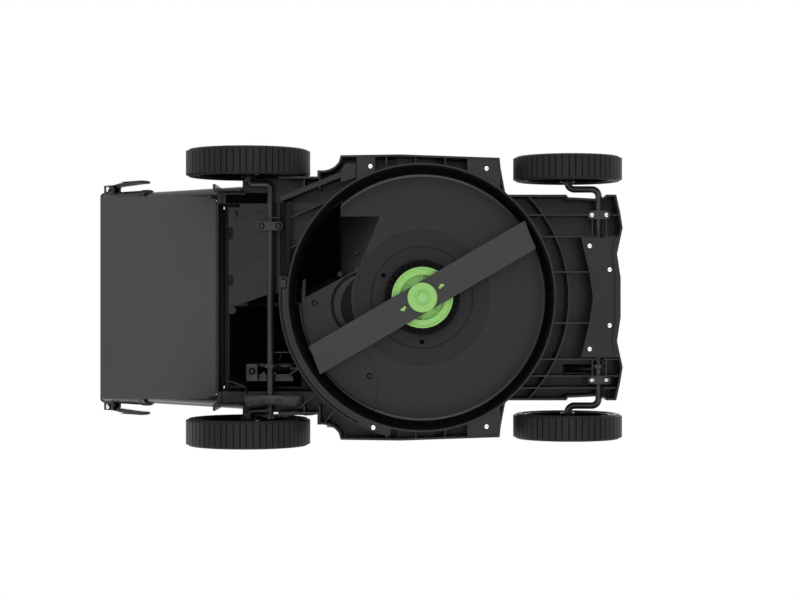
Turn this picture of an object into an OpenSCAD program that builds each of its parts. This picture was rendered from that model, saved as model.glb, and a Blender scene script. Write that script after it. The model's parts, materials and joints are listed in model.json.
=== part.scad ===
/* [Wheels] */
// Diameter of the rear wheels over the lugs
rear_wheel_d = 205; // [196:1:212]
// Diameter of the front wheels over the lugs
front_wheel_d = 178.5; // [172:0.5:184]
// Width of the rear tyres
rear_wheel_w = 45; // [40:1:50]
// Width of the front tyres
front_wheel_w = 41; // [36:1:46]
// Height of a tyre lug
lug_h = 2.4; // [1.5:0.1:3.5]
// Lugs round a rear tyre
rear_lugs = 60; // [40:4:80]
// Lugs round a front tyre
front_lugs = 52; // [40:4:72]
// Thickness of a tyre between lug root and rim
tyre_t = 12; // [8:0.5:16]
// Diameter of the axle stubs that the wheels turn on
stub_d = 12; // [10:0.5:13]
// Spokes in a rim
spokes = 9; // [6:1:12]

/* [Axles] */
// Diameter of the bent axle bars
axle_d = 11; // [9:0.5:11.5]
// Distance from the front axle bar to the front wheel centre
front_crank = 51.2; // [48:0.2:56]
// Distance from the rear axle bar to the rear wheel centre
rear_crank = 36.8; // [34:0.2:40]
// Front axle bar, ahead of the blade axis
front_bar_x = 290.5; // [288:0.5:294]
// Rear axle bar, behind the blade axis
rear_bar_back = 250.7; // [248:0.1:253]
// Height of the link pin over the front axle bar
front_link_h = 29; // [27:0.5:30]
// Height of the link pin over the rear axle bar
rear_link_h = 20.4; // [19:0.1:22]
// Side distance of the link rod
link_y = 113; // [111:0.5:115]
// Diameter of the link pins
link_pin_d = 6; // [5:0.5:7]
// Rise of the link rod over the deck's flat top
link_rise = 12; // [10:0.5:14]
// Length of the height lever from the rear axle bar to its knob
lever_l = 200; // [180:5:210]
// Forward lean of the height lever at the middle cutting height
lever_lean = 30; // [26:1:34]

/* [Blade and motor] */
// Length of the blade from tip to tip
blade_d = 407; // [396:1:408]
// Width of the blade
blade_w = 49; // [44:1:54]
// Thickness of the blade
blade_t = 4; // [3:0.5:5]
// Height of the blade's underside over the ground
blade_z = 58; // [56:0.5:60]
// Turn of the blade seen from above
blade_turn = -30.2; // [-60:0.1:60]
// Diameter of the blade bolt
bolt_d = 10; // [8:0.5:12]
// Diameter of the green blade carrier
carrier_d = 100; // [94:1:104]
// Outer diameter of the fan ring
fan_d = 124; // [118:1:130]
// Diameter of the washer under the blade
washer_d = 49; // [42:1:50]
// Diameter of the motor base plate
motor_base_d = 220; // [206:1:224]
// Diameter of the motor shaft
shaft_d = 17; // [15:0.5:18]
// Outer diameter of the motor bearings
bearing_d = 35; // [32:1:38]
// Thickness of one bearing
bearing_t = 10; // [8:1:12]
// Outer diameter of the rotor bell
rotor_d = 130; // [122:1:134]
// Height of the stator stack
stator_h = 34; // [26:1:40]

/* [Deck] */
// Radius of the cutting chamber under its ceiling
chamber_r = 206.5; // [205.5:0.5:207.5]
// Flare of the chamber wall from the ceiling down to the lip
wall_flare = 4.1; // [3.9:0.1:4.5]
// Width of the flat edge of the lip
lip_edge = 2.8; // [2.2:0.1:3.6]
// Shift of the lip behind the blade axis
lip_back = 1.8; // [1:0.1:2]
// Height of the chamber lip over the ground
lip_z = 45; // [43:0.5:47]
// Height of the outer skirt over the ground
skirt_z = 52; // [50:1:55]
// Height of the chamber ceiling over the ground
ceiling_z = 128; // [127:0.2:129]
// Wall thickness of the deck
deck_wall = 3.2; // [2.6:0.1:4]
// Thickness of the ribs under the deck
rib_t = 2.4; // [1.8:0.1:3]
// Front of the nose, ahead of the blade axis
nose_x = 326; // [325:0.5:330]
// Half width of the deck beside the chamber
bulge_y = 233; // [229:0.5:236]
// Half width of the deck between the front wheels
front_y = 167.5; // [166:0.5:171]
// Half width of the deck between the rear wheels
rear_y = 177; // [175:0.5:178]
// Half width of the rear outlet frame
frame_y = 184.6; // [181:0.2:186]
// Rear face of the deck, behind the blade axis
rear_back = 337; // [334:0.5:339]
// Half width of the discharge housing
housing_y = 160; // [158:0.5:161]
// Height of the rear outlet's top over the ground
outlet_top = 262; // [258:1:264]
// Height of the housing where it meets the top cover
bulkhead_top = 188; // [184:1:192]
// Half width of the belly plate under the nose
belly_y = 97.5; // [92:0.5:104]
// Thickness of the belly plate
belly_t = 2.6; // [2:0.2:3.6]
// Diameter of the heads of the deck screws
screw_head_d = 8; // [7:0.5:9]
// Diameter of the shanks of the deck screws
screw_d = 4; // [3:0.5:4.5]

/* [Top cover] */
// Half width of the top cover at its foot
cover_y = 156; // [150:1:158]
// Height of the flat top of the cover over the ground
cover_top = 252; // [250:1:256]
// Wall of the top cover
cover_wall = 2.8; // [2:0.2:3.4]
// Length of the battery bay opening
bay_l = 96; // [92:1:100]
// Width of the battery bay opening
bay_w = 104; // [100:1:108]
// Depth of the battery bay below the cover's top
bay_depth = 104; // [100:1:106]
// Wall of the battery bay
bay_wall = 2.4; // [2:0.2:3]
// Play round the battery pack
pack_play = 1.2; // [0.8:0.1:2]
// Thickness of the battery lid
lid_t = 5; // [4:0.5:7]

/* [Handle] */
// Diameter of the lower handle tubes
tube_d = 22; // [21:0.5:22.5]
// Wall of the lower handle tubes
tube_wall = 1.5; // [1:0.1:1.8]
// Side distance of the handle tubes
tube_y = 179; // [178:0.2:180]
// Slope of the handle over the ground
handle_slope = 45; // [43:0.5:47]
// Handle pivot, behind the blade axis
pivot_back = 275; // [272:0.5:278]
// Height of the handle pivot over the ground
pivot_z = 175; // [172:0.5:178]
// Length of the lower tubes from the pivot
lower_l = 426; // [418:1:436]
// Length from the pivot to the middle of the grip
handle_l = 1167; // [1120:1:1200]
// Radius of the bends beside the grip
bend_r = 60; // [50:1:70]
// Thickness of the foam sleeve on the grip
grip_t = 5; // [3:0.5:7]
// Length of a cam lever
cam_l = 100; // [86:1:104]
// Diameter of the bail rod
bail_d = 8; // [6:0.5:9]

/* [Grass box] */
// Half width of the grass box
box_y = 165; // [162:0.2:165.4]
// Length of the grass box
box_l = 455; // [430:1:480]
// Height of the box floor over the ground
box_z = 147; // [146:0.2:149]
// Height of the box lid's top over the ground
box_top = 440; // [428:1:446]
// Wall of the grass box
box_wall = 2.6; // [2:0.2:3.2]
// Slope of the lid behind the rear door
lid_slope = 30; // [28:0.5:31]
// Length of the rear door
door_l = 132; // [120:1:140]
// Thickness of the rear door
door_t = 4; // [3:0.5:4.5]

/* [Fits] */
// Radial clearance of a shaft or pin in its bore
running = 0.06; // [0.02:0.01:0.1]
// Gap between pieces that pass or rest beside each other
gap = 0.3; // [0.3:0.05:0.4]

/* [Hidden] */
$fn = 48;

// Places along the mower, measured from the blade axis
rear_bar_x = -rear_bar_back;
rear_x = -rear_back;
pivot_x = -pivot_back;
rear_wheel_x = rear_bar_x - rear_crank;
front_wheel_x = front_bar_x - front_crank;
front_axle_z = front_wheel_d / 2;
rear_axle_z = rear_wheel_d / 2;
deck_top = ceiling_z + deck_wall;
wall_r = chamber_r + wall_flare;
lip_in = wall_r + lip_back + 3.5;
lip_r = lip_in + lip_edge;
grip_r = (tube_d - 2 * tube_wall) / 2 - running;
handle_back = handle_l * cos(handle_slope) - pivot_x + grip_r + grip_t;
to_origin = (handle_back - nose_x) / 2;

// Side places of the wheels and cranks
rear_in_y = 199;
front_in_y = 190.5;
rear_arm_y = rear_in_y - axle_d / 2 - 5.5;
front_arm_y = front_in_y - 12.5;

// Heights of the flat pieces seen from below
belly_z = skirt_z + 4;
rib_z = belly_z + belly_t;
tab_z = skirt_z + 2;
base_t = ceiling_z - 124.6;
baffle_t = ceiling_z - 125;
bulkhead_x = -131;
tunnel_floor_z = 99;
tunnel_floor_x = -225.2;
wheel_side_y = 197;
lever_side_y = 189.8;

// Screws: place along, place across, height of the seat under the head
belly_screws = [[272.5, -84], [272.5, 84], [305.3, -45.5], [305.3, 45.5]];
strap_y = 135.5;
strap_half = 12;
strap_t = 5;
rear_strap_y = -118;
rear_strap_half = 14;
corner_screws = [[104.5, -210], [104.5, 210], [-84.7, -213.6]];
band_screw = [[-79.9, 211.1]];
band_z = lip_z + 1;
baffle_screws = [[-178.8, 9.2], [-136.3, -39.1], [-86.9, 130.6]];
motor_screw_r = 74;

// Height adjuster and link rod
link_bend_front = 238;
link_bend_rear = -222;
quadrant_y = 190.5;
quadrant_t = 2.2;
quadrant_in = 52;
lever_y = rear_arm_y + axle_d / 2 + gap;
lever_t = 4;

// Battery bay
bay_x = 72;
pack_top = cover_top - 14;

// Blade parts
blade_top = blade_z + blade_t;
carrier_top = blade_top + 24;
bearing_low = ceiling_z - 21;
bearing_high = ceiling_z + 39 - bearing_t;
bearing_r = bearing_d / 2;
shaft_r = shaft_d / 2;

module from_blade_axis() {
    translate([to_origin, 0, 0]) children();
}

module both_sides() {
    children();
    mirror([0, 1, 0]) children();
}

module block(low, high) {
    translate(low) cube(high - low);
}

module rod_y(x, z, y0, y1, d) {
    translate([x, y0, z]) rotate([-90, 0, 0]) cylinder(d = d, h = y1 - y0);
}

module rod_x(x0, x1, y, z, d) {
    translate([x0, y, z]) rotate([0, 90, 0]) cylinder(d = d, h = x1 - x0);
}

module rod_z(x, y, z0, z1, d) {
    translate([x, y, z0]) cylinder(d = d, h = z1 - z0);
}

// A plate with an outline in the upright plane along the mower, from y0 to y1
module side_plate(points, y0, y1) {
    translate([0, y1, 0]) rotate([90, 0, 0]) linear_extrude(y1 - y0) polygon(points);
}

// A plate with an outline seen from above, from z0 to z1
module flat_plate(points, z0, z1) {
    translate([0, 0, z0]) linear_extrude(z1 - z0) polygon(points);
}

module ring(r_out, r_in, z0, z1) {
    translate([0, 0, z0]) difference() {
        cylinder(r = r_out, h = z1 - z0, $fn = 96);
        translate([0, 0, -1]) cylinder(r = r_in, h = z1 - z0 + 2, $fn = 96);
    }
}

function polar(r, a) = [r * cos(a), r * sin(a)];

function unit(v) = v / norm(v);

// The outline moved inward by t, with sharp corners kept sharp
function inset(points, t) = [
    for (i = [0 : len(points) - 1])
        let (
            before = points[(i + len(points) - 1) % len(points)],
            here = points[i],
            after = points[(i + 1) % len(points)],
            a = unit(here - before),
            b = unit(after - here),
            na = [-a[1], a[0]],
            nb = [-b[1], b[0]]
        )
        here + (na + nb) * t / (1 + na * nb)
];

// Half of the deck's outline, from the nose to the rear; beside the lever it steps in to side_y
function deck_half(side_y) = concat([
    [nose_x - 3.3, 32], [nose_x - 9.2, 71], [nose_x - 3.3, 98], [nose_x, 113.5],
    [nose_x - 4.3, 139.7], [nose_x - 10.5, front_y], [299.4, front_y], [293.5, front_y - 6],
    [283, front_y - 6.5], [237, front_y - 4.2], [234.3, front_y], [138, front_y],
    [134.6, front_y + 5], [130.4, 194.5], [127.2, 212], [125.8, bulge_y - 5.5],
    [-36.5, bulge_y], [-133, bulge_y - 1.4], [-136.6, 219.9], [-143.4, 212.9],
    [-152.5, 208.3], [-161.7, 206.8], [-171, 207], [-171, side_y]
], side_y < wheel_side_y ? [[-264, side_y], [-264, wheel_side_y]] : [], [
    [-299, wheel_side_y], [-299, rear_y], [rear_x, rear_y]
]);

function mirrored(points) = [for (i = [len(points) - 1 : -1 : 0]) [points[i][0], -points[i][1]]];

deck_outline = concat(deck_half(lever_side_y), mirrored(deck_half(wheel_side_y)));

housing_profile = [
    [bulkhead_x, deck_top - 10], [bulkhead_x, bulkhead_top], [-300, outlet_top],
    [rear_x, outlet_top], [rear_x, deck_top - 10]
];
housing_hollow = [
    [bulkhead_x - deck_wall, 60], [bulkhead_x - deck_wall, bulkhead_top - 1.4 * deck_wall],
    [-301, outlet_top - deck_wall], [rear_x - 20, outlet_top - deck_wall], [rear_x - 20, 60]
];
tunnel_profile = [
    [-70, tunnel_floor_z], [-70, ceiling_z - 3], [bulkhead_x - deck_wall, ceiling_z - 3],
    [bulkhead_x - 12, ceiling_z + 20], [-200, ceiling_z + 20], [-240, ceiling_z - 20],
    [-240, tunnel_floor_z]
];

// The ceiling rises into the tunnel behind this line, seen square to the ramp
ramp_turn = 22;
ramp_start = -115.7;
ramp_end = -215;
ramp_rise = 42;
ramp_side = 138.5;

module screw_bores(list, z0, z1) {
    for (p = list) rod_z(p[0], p[1], z0, z1, screw_d + 2 * running);
}

strap_screws = [for (y = [-strap_y, strap_y], s = [-1, 1]) [front_bar_x + s * strap_half, y]];
rear_strap_screws = [for (s = [-1, 1]) [rear_bar_x + s * rear_strap_half, rear_strap_y]];
motor_screws = [for (a = [90, 210, 330]) polar(motor_screw_r, a)];
strap_z = front_axle_z - axle_d / 2 - strap_t;
rear_strap_z = rear_axle_z - axle_d / 2 - strap_t;

rib_places = [-134.6, -99.2, -41.6, 41.6, 100.6, 128, 147.6];
rib_ring = 238;
corner_ribs = [[128, 290], [138, 270], [150, 250]];
tunnel_left = 14;

module deck_ribs() {
    intersection() {
        flat_plate(inset(deck_outline, 1), rib_z, deck_top - 1);
        union() {
            for (y = rib_places) block([140, y - rib_t / 2, rib_z], [nose_x, y + rib_t / 2, deck_top]);
            intersection() {
                ring(rib_ring + rib_t, rib_ring, rib_z, deck_top);
                block([100, -front_y, rib_z], [nose_x, front_y, deck_top]);
            }
            both_sides() {
                for (x = [-60, -12, 36])
                    block([x, chamber_r - 2, rib_z], [x + rib_t, bulge_y, deck_top]);
                for (x = [front_bar_x - 14.5, front_bar_x + 8])
                    block([x, 99, rib_z], [x + rib_t, 127, strap_z - 3]);
                block([-42, 212, 98], [20.5, bulge_y, 101]);
                for (x = [-168.6, -194])
                    block([x, rear_y, rib_z], [x + rib_t, 206, deck_top]);
            }
            for (p = corner_ribs) rotate([0, 0, p[0]])
                block([chamber_r - 2, -rib_t / 2, rib_z + 4], [p[1], rib_t / 2, deck_top]);
            translate([-131, -197, rib_z]) rotate([0, 0, 158]) block([0, 0, 0], [106, 8, deck_top - rib_z]);
        }
    }
}

// Flat tabs between the lip and the outline that carry the corner screws
module corner_tabs() {
    intersection() {
        flat_plate(inset(deck_outline, 1), tab_z, tab_z + 4);
        union() {
            both_sides() block([73, 150, tab_z], [127, 240, tab_z + 4]);
            block([-107, -240, tab_z], [-77, -190, tab_z + 4]);
        }
    }
    flat_plate([[-133, -206], [-126, -218], [-109, -219], [-109, -195], [-133, -188]], tab_z, tab_z + 4);
}

// Floor of the discharge tunnel outside the chamber, with the ribs under it
module tunnel_floor() {
    difference() {
        union() {
            block([tunnel_floor_x, deck_wall - housing_y, tunnel_floor_z - 3], [-110, -20, tunnel_floor_z]);
            translate([-226, -127, rib_z]) rotate([0, 0, -23.5])
                block([0, 0, 0], [100, rib_t, tunnel_floor_z - rib_z]);
            translate([-225, -78.5, rib_z]) rotate([0, 0, -22])
                block([0, 0, 0], [40, rib_t, tunnel_floor_z - rib_z]);
        }
        rod_z(0, 0, 40, 140, 2 * wall_r + 2);
        block([-250, -200, 40], [-217.3, 0, tunnel_floor_z - 3]);
        block([-250, -200, 40], [tunnel_floor_x, 0, 140]);
    }
}

// The flat band behind the lip, with a thin wall outside it
module lip_band() {
    intersection() {
        translate([-lip_back, 0, 0]) {
            ring(lip_r + 9.5, lip_in, band_z, band_z + 3);
            ring(lip_r + 13, lip_r + 8, band_z + 3, band_z + 5);
            ring(lip_r + 13, lip_r + 11.2, band_z, band_z + 12);
        }
        flat_plate([[0, 0], [-262, -40], [-262, 262], [-62, 262]], 40, 70);
    }
}

module ramp(lift) {
    rotate([0, 0, ramp_turn]) side_plate([
        [ramp_start, tunnel_floor_z + lift], [ramp_start, ceiling_z + lift],
        [ramp_end, ceiling_z + ramp_rise + lift], [ramp_end, tunnel_floor_z + lift]
    ], -260, 150);
}

module bosses(list, z0, z1, d) {
    for (p = list) rod_z(p[0], p[1], z0, z1, d);
}

// Space for the axle bar under the nose, and for its link arm
module front_axle_way() {
    half = axle_d / 2 + running;
    way = axle_d / 2 + 2;
    rod_y(front_bar_x, front_axle_z, -200, 200, 2 * half);
    block([front_bar_x - half, -200, 40], [front_bar_x + half, 200, front_axle_z]);
    both_sides() {
        block([front_bar_x - way, 150, 40], [front_bar_x + way, 200, front_axle_z + way]);
        block(
            [front_bar_x - strap_half - 8, strap_y - 8, 40],
            [front_bar_x + strap_half + 8, strap_y + 8, strap_z + strap_t]
        );
    }
    block([link_bend_front, link_y - 5, 60], [front_bar_x + 25, link_y + 12, deck_top - deck_wall]);
    block([link_bend_front - 3, link_y - 2, 60], [front_bar_x + 4, link_y + 12, deck_top + 10]);
}

module rear_axle_way() {
    both_sides() {
        block([rear_bar_x - 12, 150, 40], [rear_bar_x + 12, 200, rear_axle_z + 12]);
        block([rear_bar_x - 50, rear_y + 1, 40], [rear_bar_x + 16, 200, ceiling_z + 1.4]);
    }
    block([rear_bar_x - 42, 160, 40], [rear_bar_x + 52, rear_y + 1, rear_axle_z + 12]);
}

module deck() {
    color([0.20, 0.21, 0.20]) from_blade_axis() difference() {
        union() {
            difference() {
                union() {
                    flat_plate(deck_outline, skirt_z, deck_top);
                    side_plate(housing_profile, -housing_y, housing_y);
                    block([rear_x - 4, -frame_y, skirt_z - 1], [rear_x + 0.01, frame_y, 150]);
                    block([rear_x - 4, -housing_y - 6, 140], [rear_x + 0.01, housing_y + 6, outlet_top]);
                }
                flat_plate(inset(deck_outline, deck_wall), 40, deck_top - deck_wall);
                side_plate(housing_hollow, -housing_y + deck_wall, housing_y - deck_wall);
                block([rear_x - 10, -rear_y + deck_wall, 40], [rear_x + 6, rear_y - deck_wall, 122]);
            }
            intersection() {
                ramp(deck_wall + 0.5);
                block([bulkhead_x - 1, -ramp_side, deck_top - 1], [-50, tunnel_left, 190]);
            }
            translate([-lip_back, 0, 0]) rotate_extrude($fn = 96) polygon([
                [150, lip_z], [lip_r, lip_z], [lip_r, lip_z + 5], [wall_r + 5, lip_z + 9],
                [wall_r + 5, lip_z + 22], [chamber_r + 5, deck_top], [150, deck_top]
            ]);
            lip_band();
            deck_ribs();
            corner_tabs();
            bosses(corner_screws, tab_z, deck_top - 1, 10);
            bosses(band_screw, band_z, deck_top - 1, 10);
            bosses(belly_screws, rib_z, deck_top - 1, 10);
            bosses(strap_screws, strap_z + strap_t, deck_top - 1, 10);
            bosses(baffle_screws, ceiling_z, ceiling_z + 14, 9);
            block(
                [bulkhead_x - deck_wall - 100, tunnel_left, 112],
                [bulkhead_x - deck_wall - 2, tunnel_left + deck_wall, 196]
            );
            tunnel_floor();
        }
        translate([-lip_back, 0, 0]) rotate_extrude($fn = 96) polygon([
            [0, lip_z - 5], [lip_in, lip_z - 5], [lip_in, lip_z], [lip_in - 3.3, lip_z + 8], [0, lip_z + 8]
        ]);
        rotate_extrude($fn = 96) polygon([
            [0, lip_z + 7.9], [wall_r, lip_z + 7.9], [wall_r, lip_z + 20], [chamber_r, ceiling_z - 5],
            [chamber_r - 1.5, ceiling_z - 1.5], [chamber_r - 5, ceiling_z], [0, ceiling_z]
        ]);
        side_plate(tunnel_profile, -housing_y + deck_wall, tunnel_left - 4);
        intersection() {
            ramp(0);
            block([-260, deck_wall - ramp_side, tunnel_floor_z], [-50, tunnel_left - deck_wall, 200]);
        }
        rod_z(0, 0, ceiling_z - 5, deck_top + 5, 176);
        ring(motor_base_d / 2 + 3.4, motor_base_d / 2 - 0.6, ceiling_z - 1, ceiling_z + 2);
        front_axle_way();
        rear_axle_way();
        block([bulkhead_x - 10, link_y - 4, deck_top + 0.4], [bulkhead_x + 5, link_y + 13, deck_top + 30]);
        screw_bores(corner_screws, 40, tab_z + 20);
        screw_bores(band_screw, 40, band_z + 20);
        screw_bores(belly_screws, 40, rib_z + 20);
        screw_bores(strap_screws, 40, strap_z + strap_t + 20);
        screw_bores(baffle_screws, 100, ceiling_z + 12);
        both_sides() block([rear_x - 20, housing_y - 14, 200], [rear_x - 3.99, housing_y + 7, 214]);
    }
}

chute_back = -322.5;
chute_steps = [[-170, -150.2, 19], [-117, -97, 8], [-37.4, -19, 8]];

module chute_floor() {
    color([0.25, 0.26, 0.25]) from_blade_axis() difference() {
        union() {
            intersection() {
                side_plate([
                    [-218, lip_z + 17.5], [-221, lip_z + 17.5], [-227.6, 94], [-236, 113],
                    [chute_back, 130.4], [chute_back, 133.6], [-234, 116.2], [-225, 94]
                ], -housing_y + deck_wall + gap, 40);
                flat_plate([
                    [-200, -170], [-200, -8], [-253, -6], [chute_back, 18], [chute_back - 4, 18],
                    [chute_back - 4, -170]
                ], 0, 200);
            }
            intersection() {
                side_plate([
                    [-266, 122], [-266, 117], [chute_back + 10, 127], [chute_back + 10, 132]
                ], -158, 40);
                for (y = [-143.6, -110.4, -67.2])
                    translate([-266, y, 100]) rotate([0, 0, -20]) block([-50, -1.2, 0], [0, 1.2, 60]);
            }
            bosses(rear_strap_screws, rear_strap_z + strap_t, 114.5, 10);
            for (y = [-140, 21]) rod_z(-316, y, 121, 130, 13);
        }
        for (p = chute_steps) block([chute_back - 5, p[0], 100], [chute_back + p[2], p[1], 150]);
        for (y = [-140, 21]) translate([-316, y, 0]) ring(4.8, 3.4, 120, 123);
        screw_bores(rear_strap_screws, 60, 112);
    }
}

// The baffle plate reaches from the motor base to the chamber wall, round a hollow beside the base
baffle_r = chamber_r - 6;
baffle_corner = [-194.5, 0];
baffle_hollow = [-96.5, 12.5];
baffle_hollow_d = 111;
baffle_flange_l = 52;
baffle_outline = concat(
    [for (a = [112.2 : 6.35 : 188.4]) polar(baffle_r, a)],
    [[-193.5, -31.5], baffle_corner, [-112.1, -44.3], [-108.5, -53]],
    [for (a = [204 : -7 : 134]) polar(motor_base_d / 2 + 3.4, a)],
    [[-86, 93], [-84, 119], [-75.8, 128.3]]
);

module rear_baffle() {
    color([0.23, 0.24, 0.23]) from_blade_axis() difference() {
        union() {
            flat_plate(baffle_outline, ceiling_z - baffle_t, ceiling_z);
            translate([baffle_corner[0], baffle_corner[1], ceiling_z - baffle_t]) rotate([0, 0, -27.6])
                translate([8, 0.6, 0]) rotate([-50, 0, 0]) block([0, -15, 0], [baffle_flange_l, 0, 1.8]);
            rod_z(baffle_screws[1][0], baffle_screws[1][1], ceiling_z - baffle_t, ceiling_z, 11);
        }
        rod_z(baffle_hollow[0], baffle_hollow[1], 120, ceiling_z + 1, baffle_hollow_d);
        screw_bores(baffle_screws, 100, ceiling_z + 10);
    }
}

module belly_plate() {
    color([0.22, 0.23, 0.22]) from_blade_axis() difference() {
        intersection() {
            flat_plate(inset(deck_outline, deck_wall + 1), belly_z, belly_z + belly_t);
            block([100, -belly_y, 0], [400, belly_y, 100]);
            ring(400, 280, 40, 100);
        }
        screw_bores(belly_screws, 40, 100);
    }
}

// Outline of the top cover at one height: a squared ellipse, cut flat at the rear
function squared_ellipse(cx, hx, hy, n, steps) = [
    for (i = [0 : steps - 1])
        let (a = 360 * i / steps, c = cos(a), s = sin(a))
        [cx + hx * sign(c) * pow(abs(c), 2 / n), hy * sign(s) * pow(abs(s), 2 / n)]
];

// A closed shell through a stack of outlines with the same number of points
module loft(outlines, heights) {
    n = len(outlines[0]);
    m = len(outlines);
    points = [for (k = [0 : m - 1], p = outlines[k]) [p[0], p[1], heights[k]]];
    sides = [for (k = [0 : m - 2], i = [0 : n - 1])
        [k * n + i, (k + 1) * n + i, (k + 1) * n + (i + 1) % n, k * n + (i + 1) % n]];
    bottom = [for (i = [0 : n - 1]) i];
    top = [for (i = [n - 1 : -1 : 0]) (m - 1) * n + i];
    polyhedron(points = points, faces = concat(sides, [bottom, top]), convexity = 4);
}

module cover_form(inward) {
    rows = [
        [0, 60, 264, cover_y, 4.6], [0.30, 60, 262, cover_y - 3, 4.4],
        [0.55, 52, 246, cover_y - 14, 3.8], [0.78, 44, 212, cover_y - 34, 3.2],
        [0.93, 42, 176, cover_y - 56, 3], [1, 40, 160, cover_y - 68, 3]
    ];
    foot = deck_top + 0.01;
    rise = cover_top - foot;
    loft(
        [for (r = rows) squared_ellipse(r[1], r[2] - inward, r[3] - inward, r[4], 48)],
        [for (r = rows) foot + r[0] * rise - (r[0] > 0 ? inward : 0)]
    );
}

module top_cover() {
    color([0.42, 0.60, 0.33]) from_blade_axis() difference() {
        intersection() {
            cover_form(0);
            block([bulkhead_x + gap, -200, 0], [400, 200, 400]);
        }
        intersection() {
            cover_form(cover_wall);
            union() {
                block([bulkhead_x + gap + cover_wall, -200, 0], [400, 200, 400]);
                block([bulkhead_x - 10, -200, 0], [400, 200, bulkhead_top - 2]);
            }
        }
        block([bulkhead_x - 10, -cover_y - 10, 100], [400, cover_y + 10, deck_top + 0.02]);
        block(
            [bay_x - gap, -bay_w / 2 - gap, cover_top - 40],
            [bay_x + bay_l + gap, bay_w / 2 + gap, cover_top + 10]
        );
        both_sides() for (i = [0 : 6])
            block([18 * i - 96, cover_y - 60, 168], [18 * i - 88, cover_y + 10, 200]);
    }
}

module motor_base() {
    color([0.10, 0.11, 0.10]) from_blade_axis() difference() {
        union() {
            ring(motor_base_d / 2, bearing_r - 2, ceiling_z - base_t, ceiling_z);
            ring(86, bearing_r - 2, ceiling_z - 1, deck_top);
            ring(bearing_r + 5, bearing_r - 2, ceiling_z - 22, ceiling_z + 40);
        }
        rod_z(0, 0, ceiling_z - 30, bearing_low + bearing_t, bearing_d);
        rod_z(0, 0, bearing_high, ceiling_z + 60, bearing_d);
        screw_bores(motor_screws, 100, 150);
        ring(85, 82.8, ceiling_z - base_t - 1, ceiling_z - 1.2);
    }
}

module motor_stator() {
    z0 = deck_top + 2;
    color([0.72, 0.45, 0.20]) from_blade_axis() {
        ring(bearing_r + 16, bearing_r + 5 + running, z0, z0 + stator_h);
        for (i = [0 : 11]) rotate([0, 0, 30 * i]) {
            block([bearing_r + 14, -3, z0 + 3], [rotor_d / 2 - 12, 3, z0 + stator_h - 3]);
            block([rotor_d / 2 - 14, -9, z0 + 3], [rotor_d / 2 - 10, 9, z0 + stator_h - 3]);
            block([bearing_r + 18, -6.5, z0 + 1], [rotor_d / 2 - 18, 6.5, z0 + stator_h - 1]);
        }
    }
}

module motor_bearings() {
    color([0.78, 0.79, 0.80]) from_blade_axis() {
        for (z = [bearing_low, bearing_high]) {
            ring(bearing_r, bearing_r - 3, z, z + bearing_t);
            ring(shaft_r + 3.2, shaft_r + running, z, z + bearing_t);
            ring(bearing_r - 3, shaft_r + 3.2, z + 1, z + bearing_t - 1);
        }
    }
}

module motor_rotor() {
    z1 = deck_top + 2 + stator_h;
    color([0.55, 0.56, 0.58]) from_blade_axis() difference() {
        union() {
            ring(rotor_d / 2, rotor_d / 2 - 5, deck_top + 6, z1 + 8);
            ring(rotor_d / 2, shaft_r - 2, z1 + 4, z1 + 8);
            rod_z(0, 0, blade_top, z1 + 14, shaft_d);
        }
        rod_z(0, 0, blade_z, blade_top + 30, bolt_d + 2 * running);
    }
}

module motor_housing() {
    z1 = deck_top + stator_h + 16;
    r = rotor_d / 2 + 6;
    color([0.16, 0.17, 0.17]) from_blade_axis() difference() {
        union() {
            ring(r, r - 2.5, deck_top, z1);
            ring(r, 14, z1 - 2.5, z1);
            ring(r + 6, r - 2.5, deck_top, deck_top + 3);
        }
        for (i = [0 : 11]) rotate([0, 0, 30 * i + 15]) block([r - 8, -6, deck_top + 10], [r + 8, 6, z1 - 12]);
        screw_bores(motor_screws, deck_top - 1, deck_top + 9);
        block([-r - 10, -12, deck_top - 1], [-r + 8, 12, deck_top + 12]);
    }
}

module controller() {
    color([0.12, 0.30, 0.18]) from_blade_axis() {
        block([-120, 24, deck_top + 6], [-88, 104, deck_top + 8]);
        block([-118, 30, deck_top], [-114, 98, deck_top + 6]);
        block([-96, 30, deck_top], [-92, 98, deck_top + 6]);
        for (i = [0 : 5]) block([-112, 11 * i + 34, deck_top + 8], [-104, 11 * i + 38, deck_top + 18]);
        for (i = [0 : 2]) rod_z(-96, 24 * i + 40, deck_top + 8, deck_top + 24, 11);
    }
}

module battery_bay() {
    x0 = bay_x;
    x1 = bay_x + bay_l;
    y = bay_w / 2;
    z0 = cover_top - bay_depth;
    color([0.14, 0.15, 0.15]) from_blade_axis() difference() {
        union() {
            block([x0, -y, z0], [x1, y, cover_top - 0.5]);
            both_sides() {
                rod_z(x1 - 14, 30, deck_top, z0 + 1, 10);
                rod_z(x0 + 22, 36, deck_top, z0 + 1, 10);
            }
        }
        block([x0 + bay_wall, -y + bay_wall, z0 + bay_wall], [x1 - bay_wall, y - bay_wall, cover_top + 1]);
    }
}

module battery_terminals() {
    z0 = cover_top - bay_depth + bay_wall;
    color([0.85, 0.70, 0.35]) from_blade_axis() for (i = [0 : 4])
        block([bay_x + 40, -21 + 10 * i, z0], [bay_x + 52, -19.5 + 10 * i, z0 + 11]);
}

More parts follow.
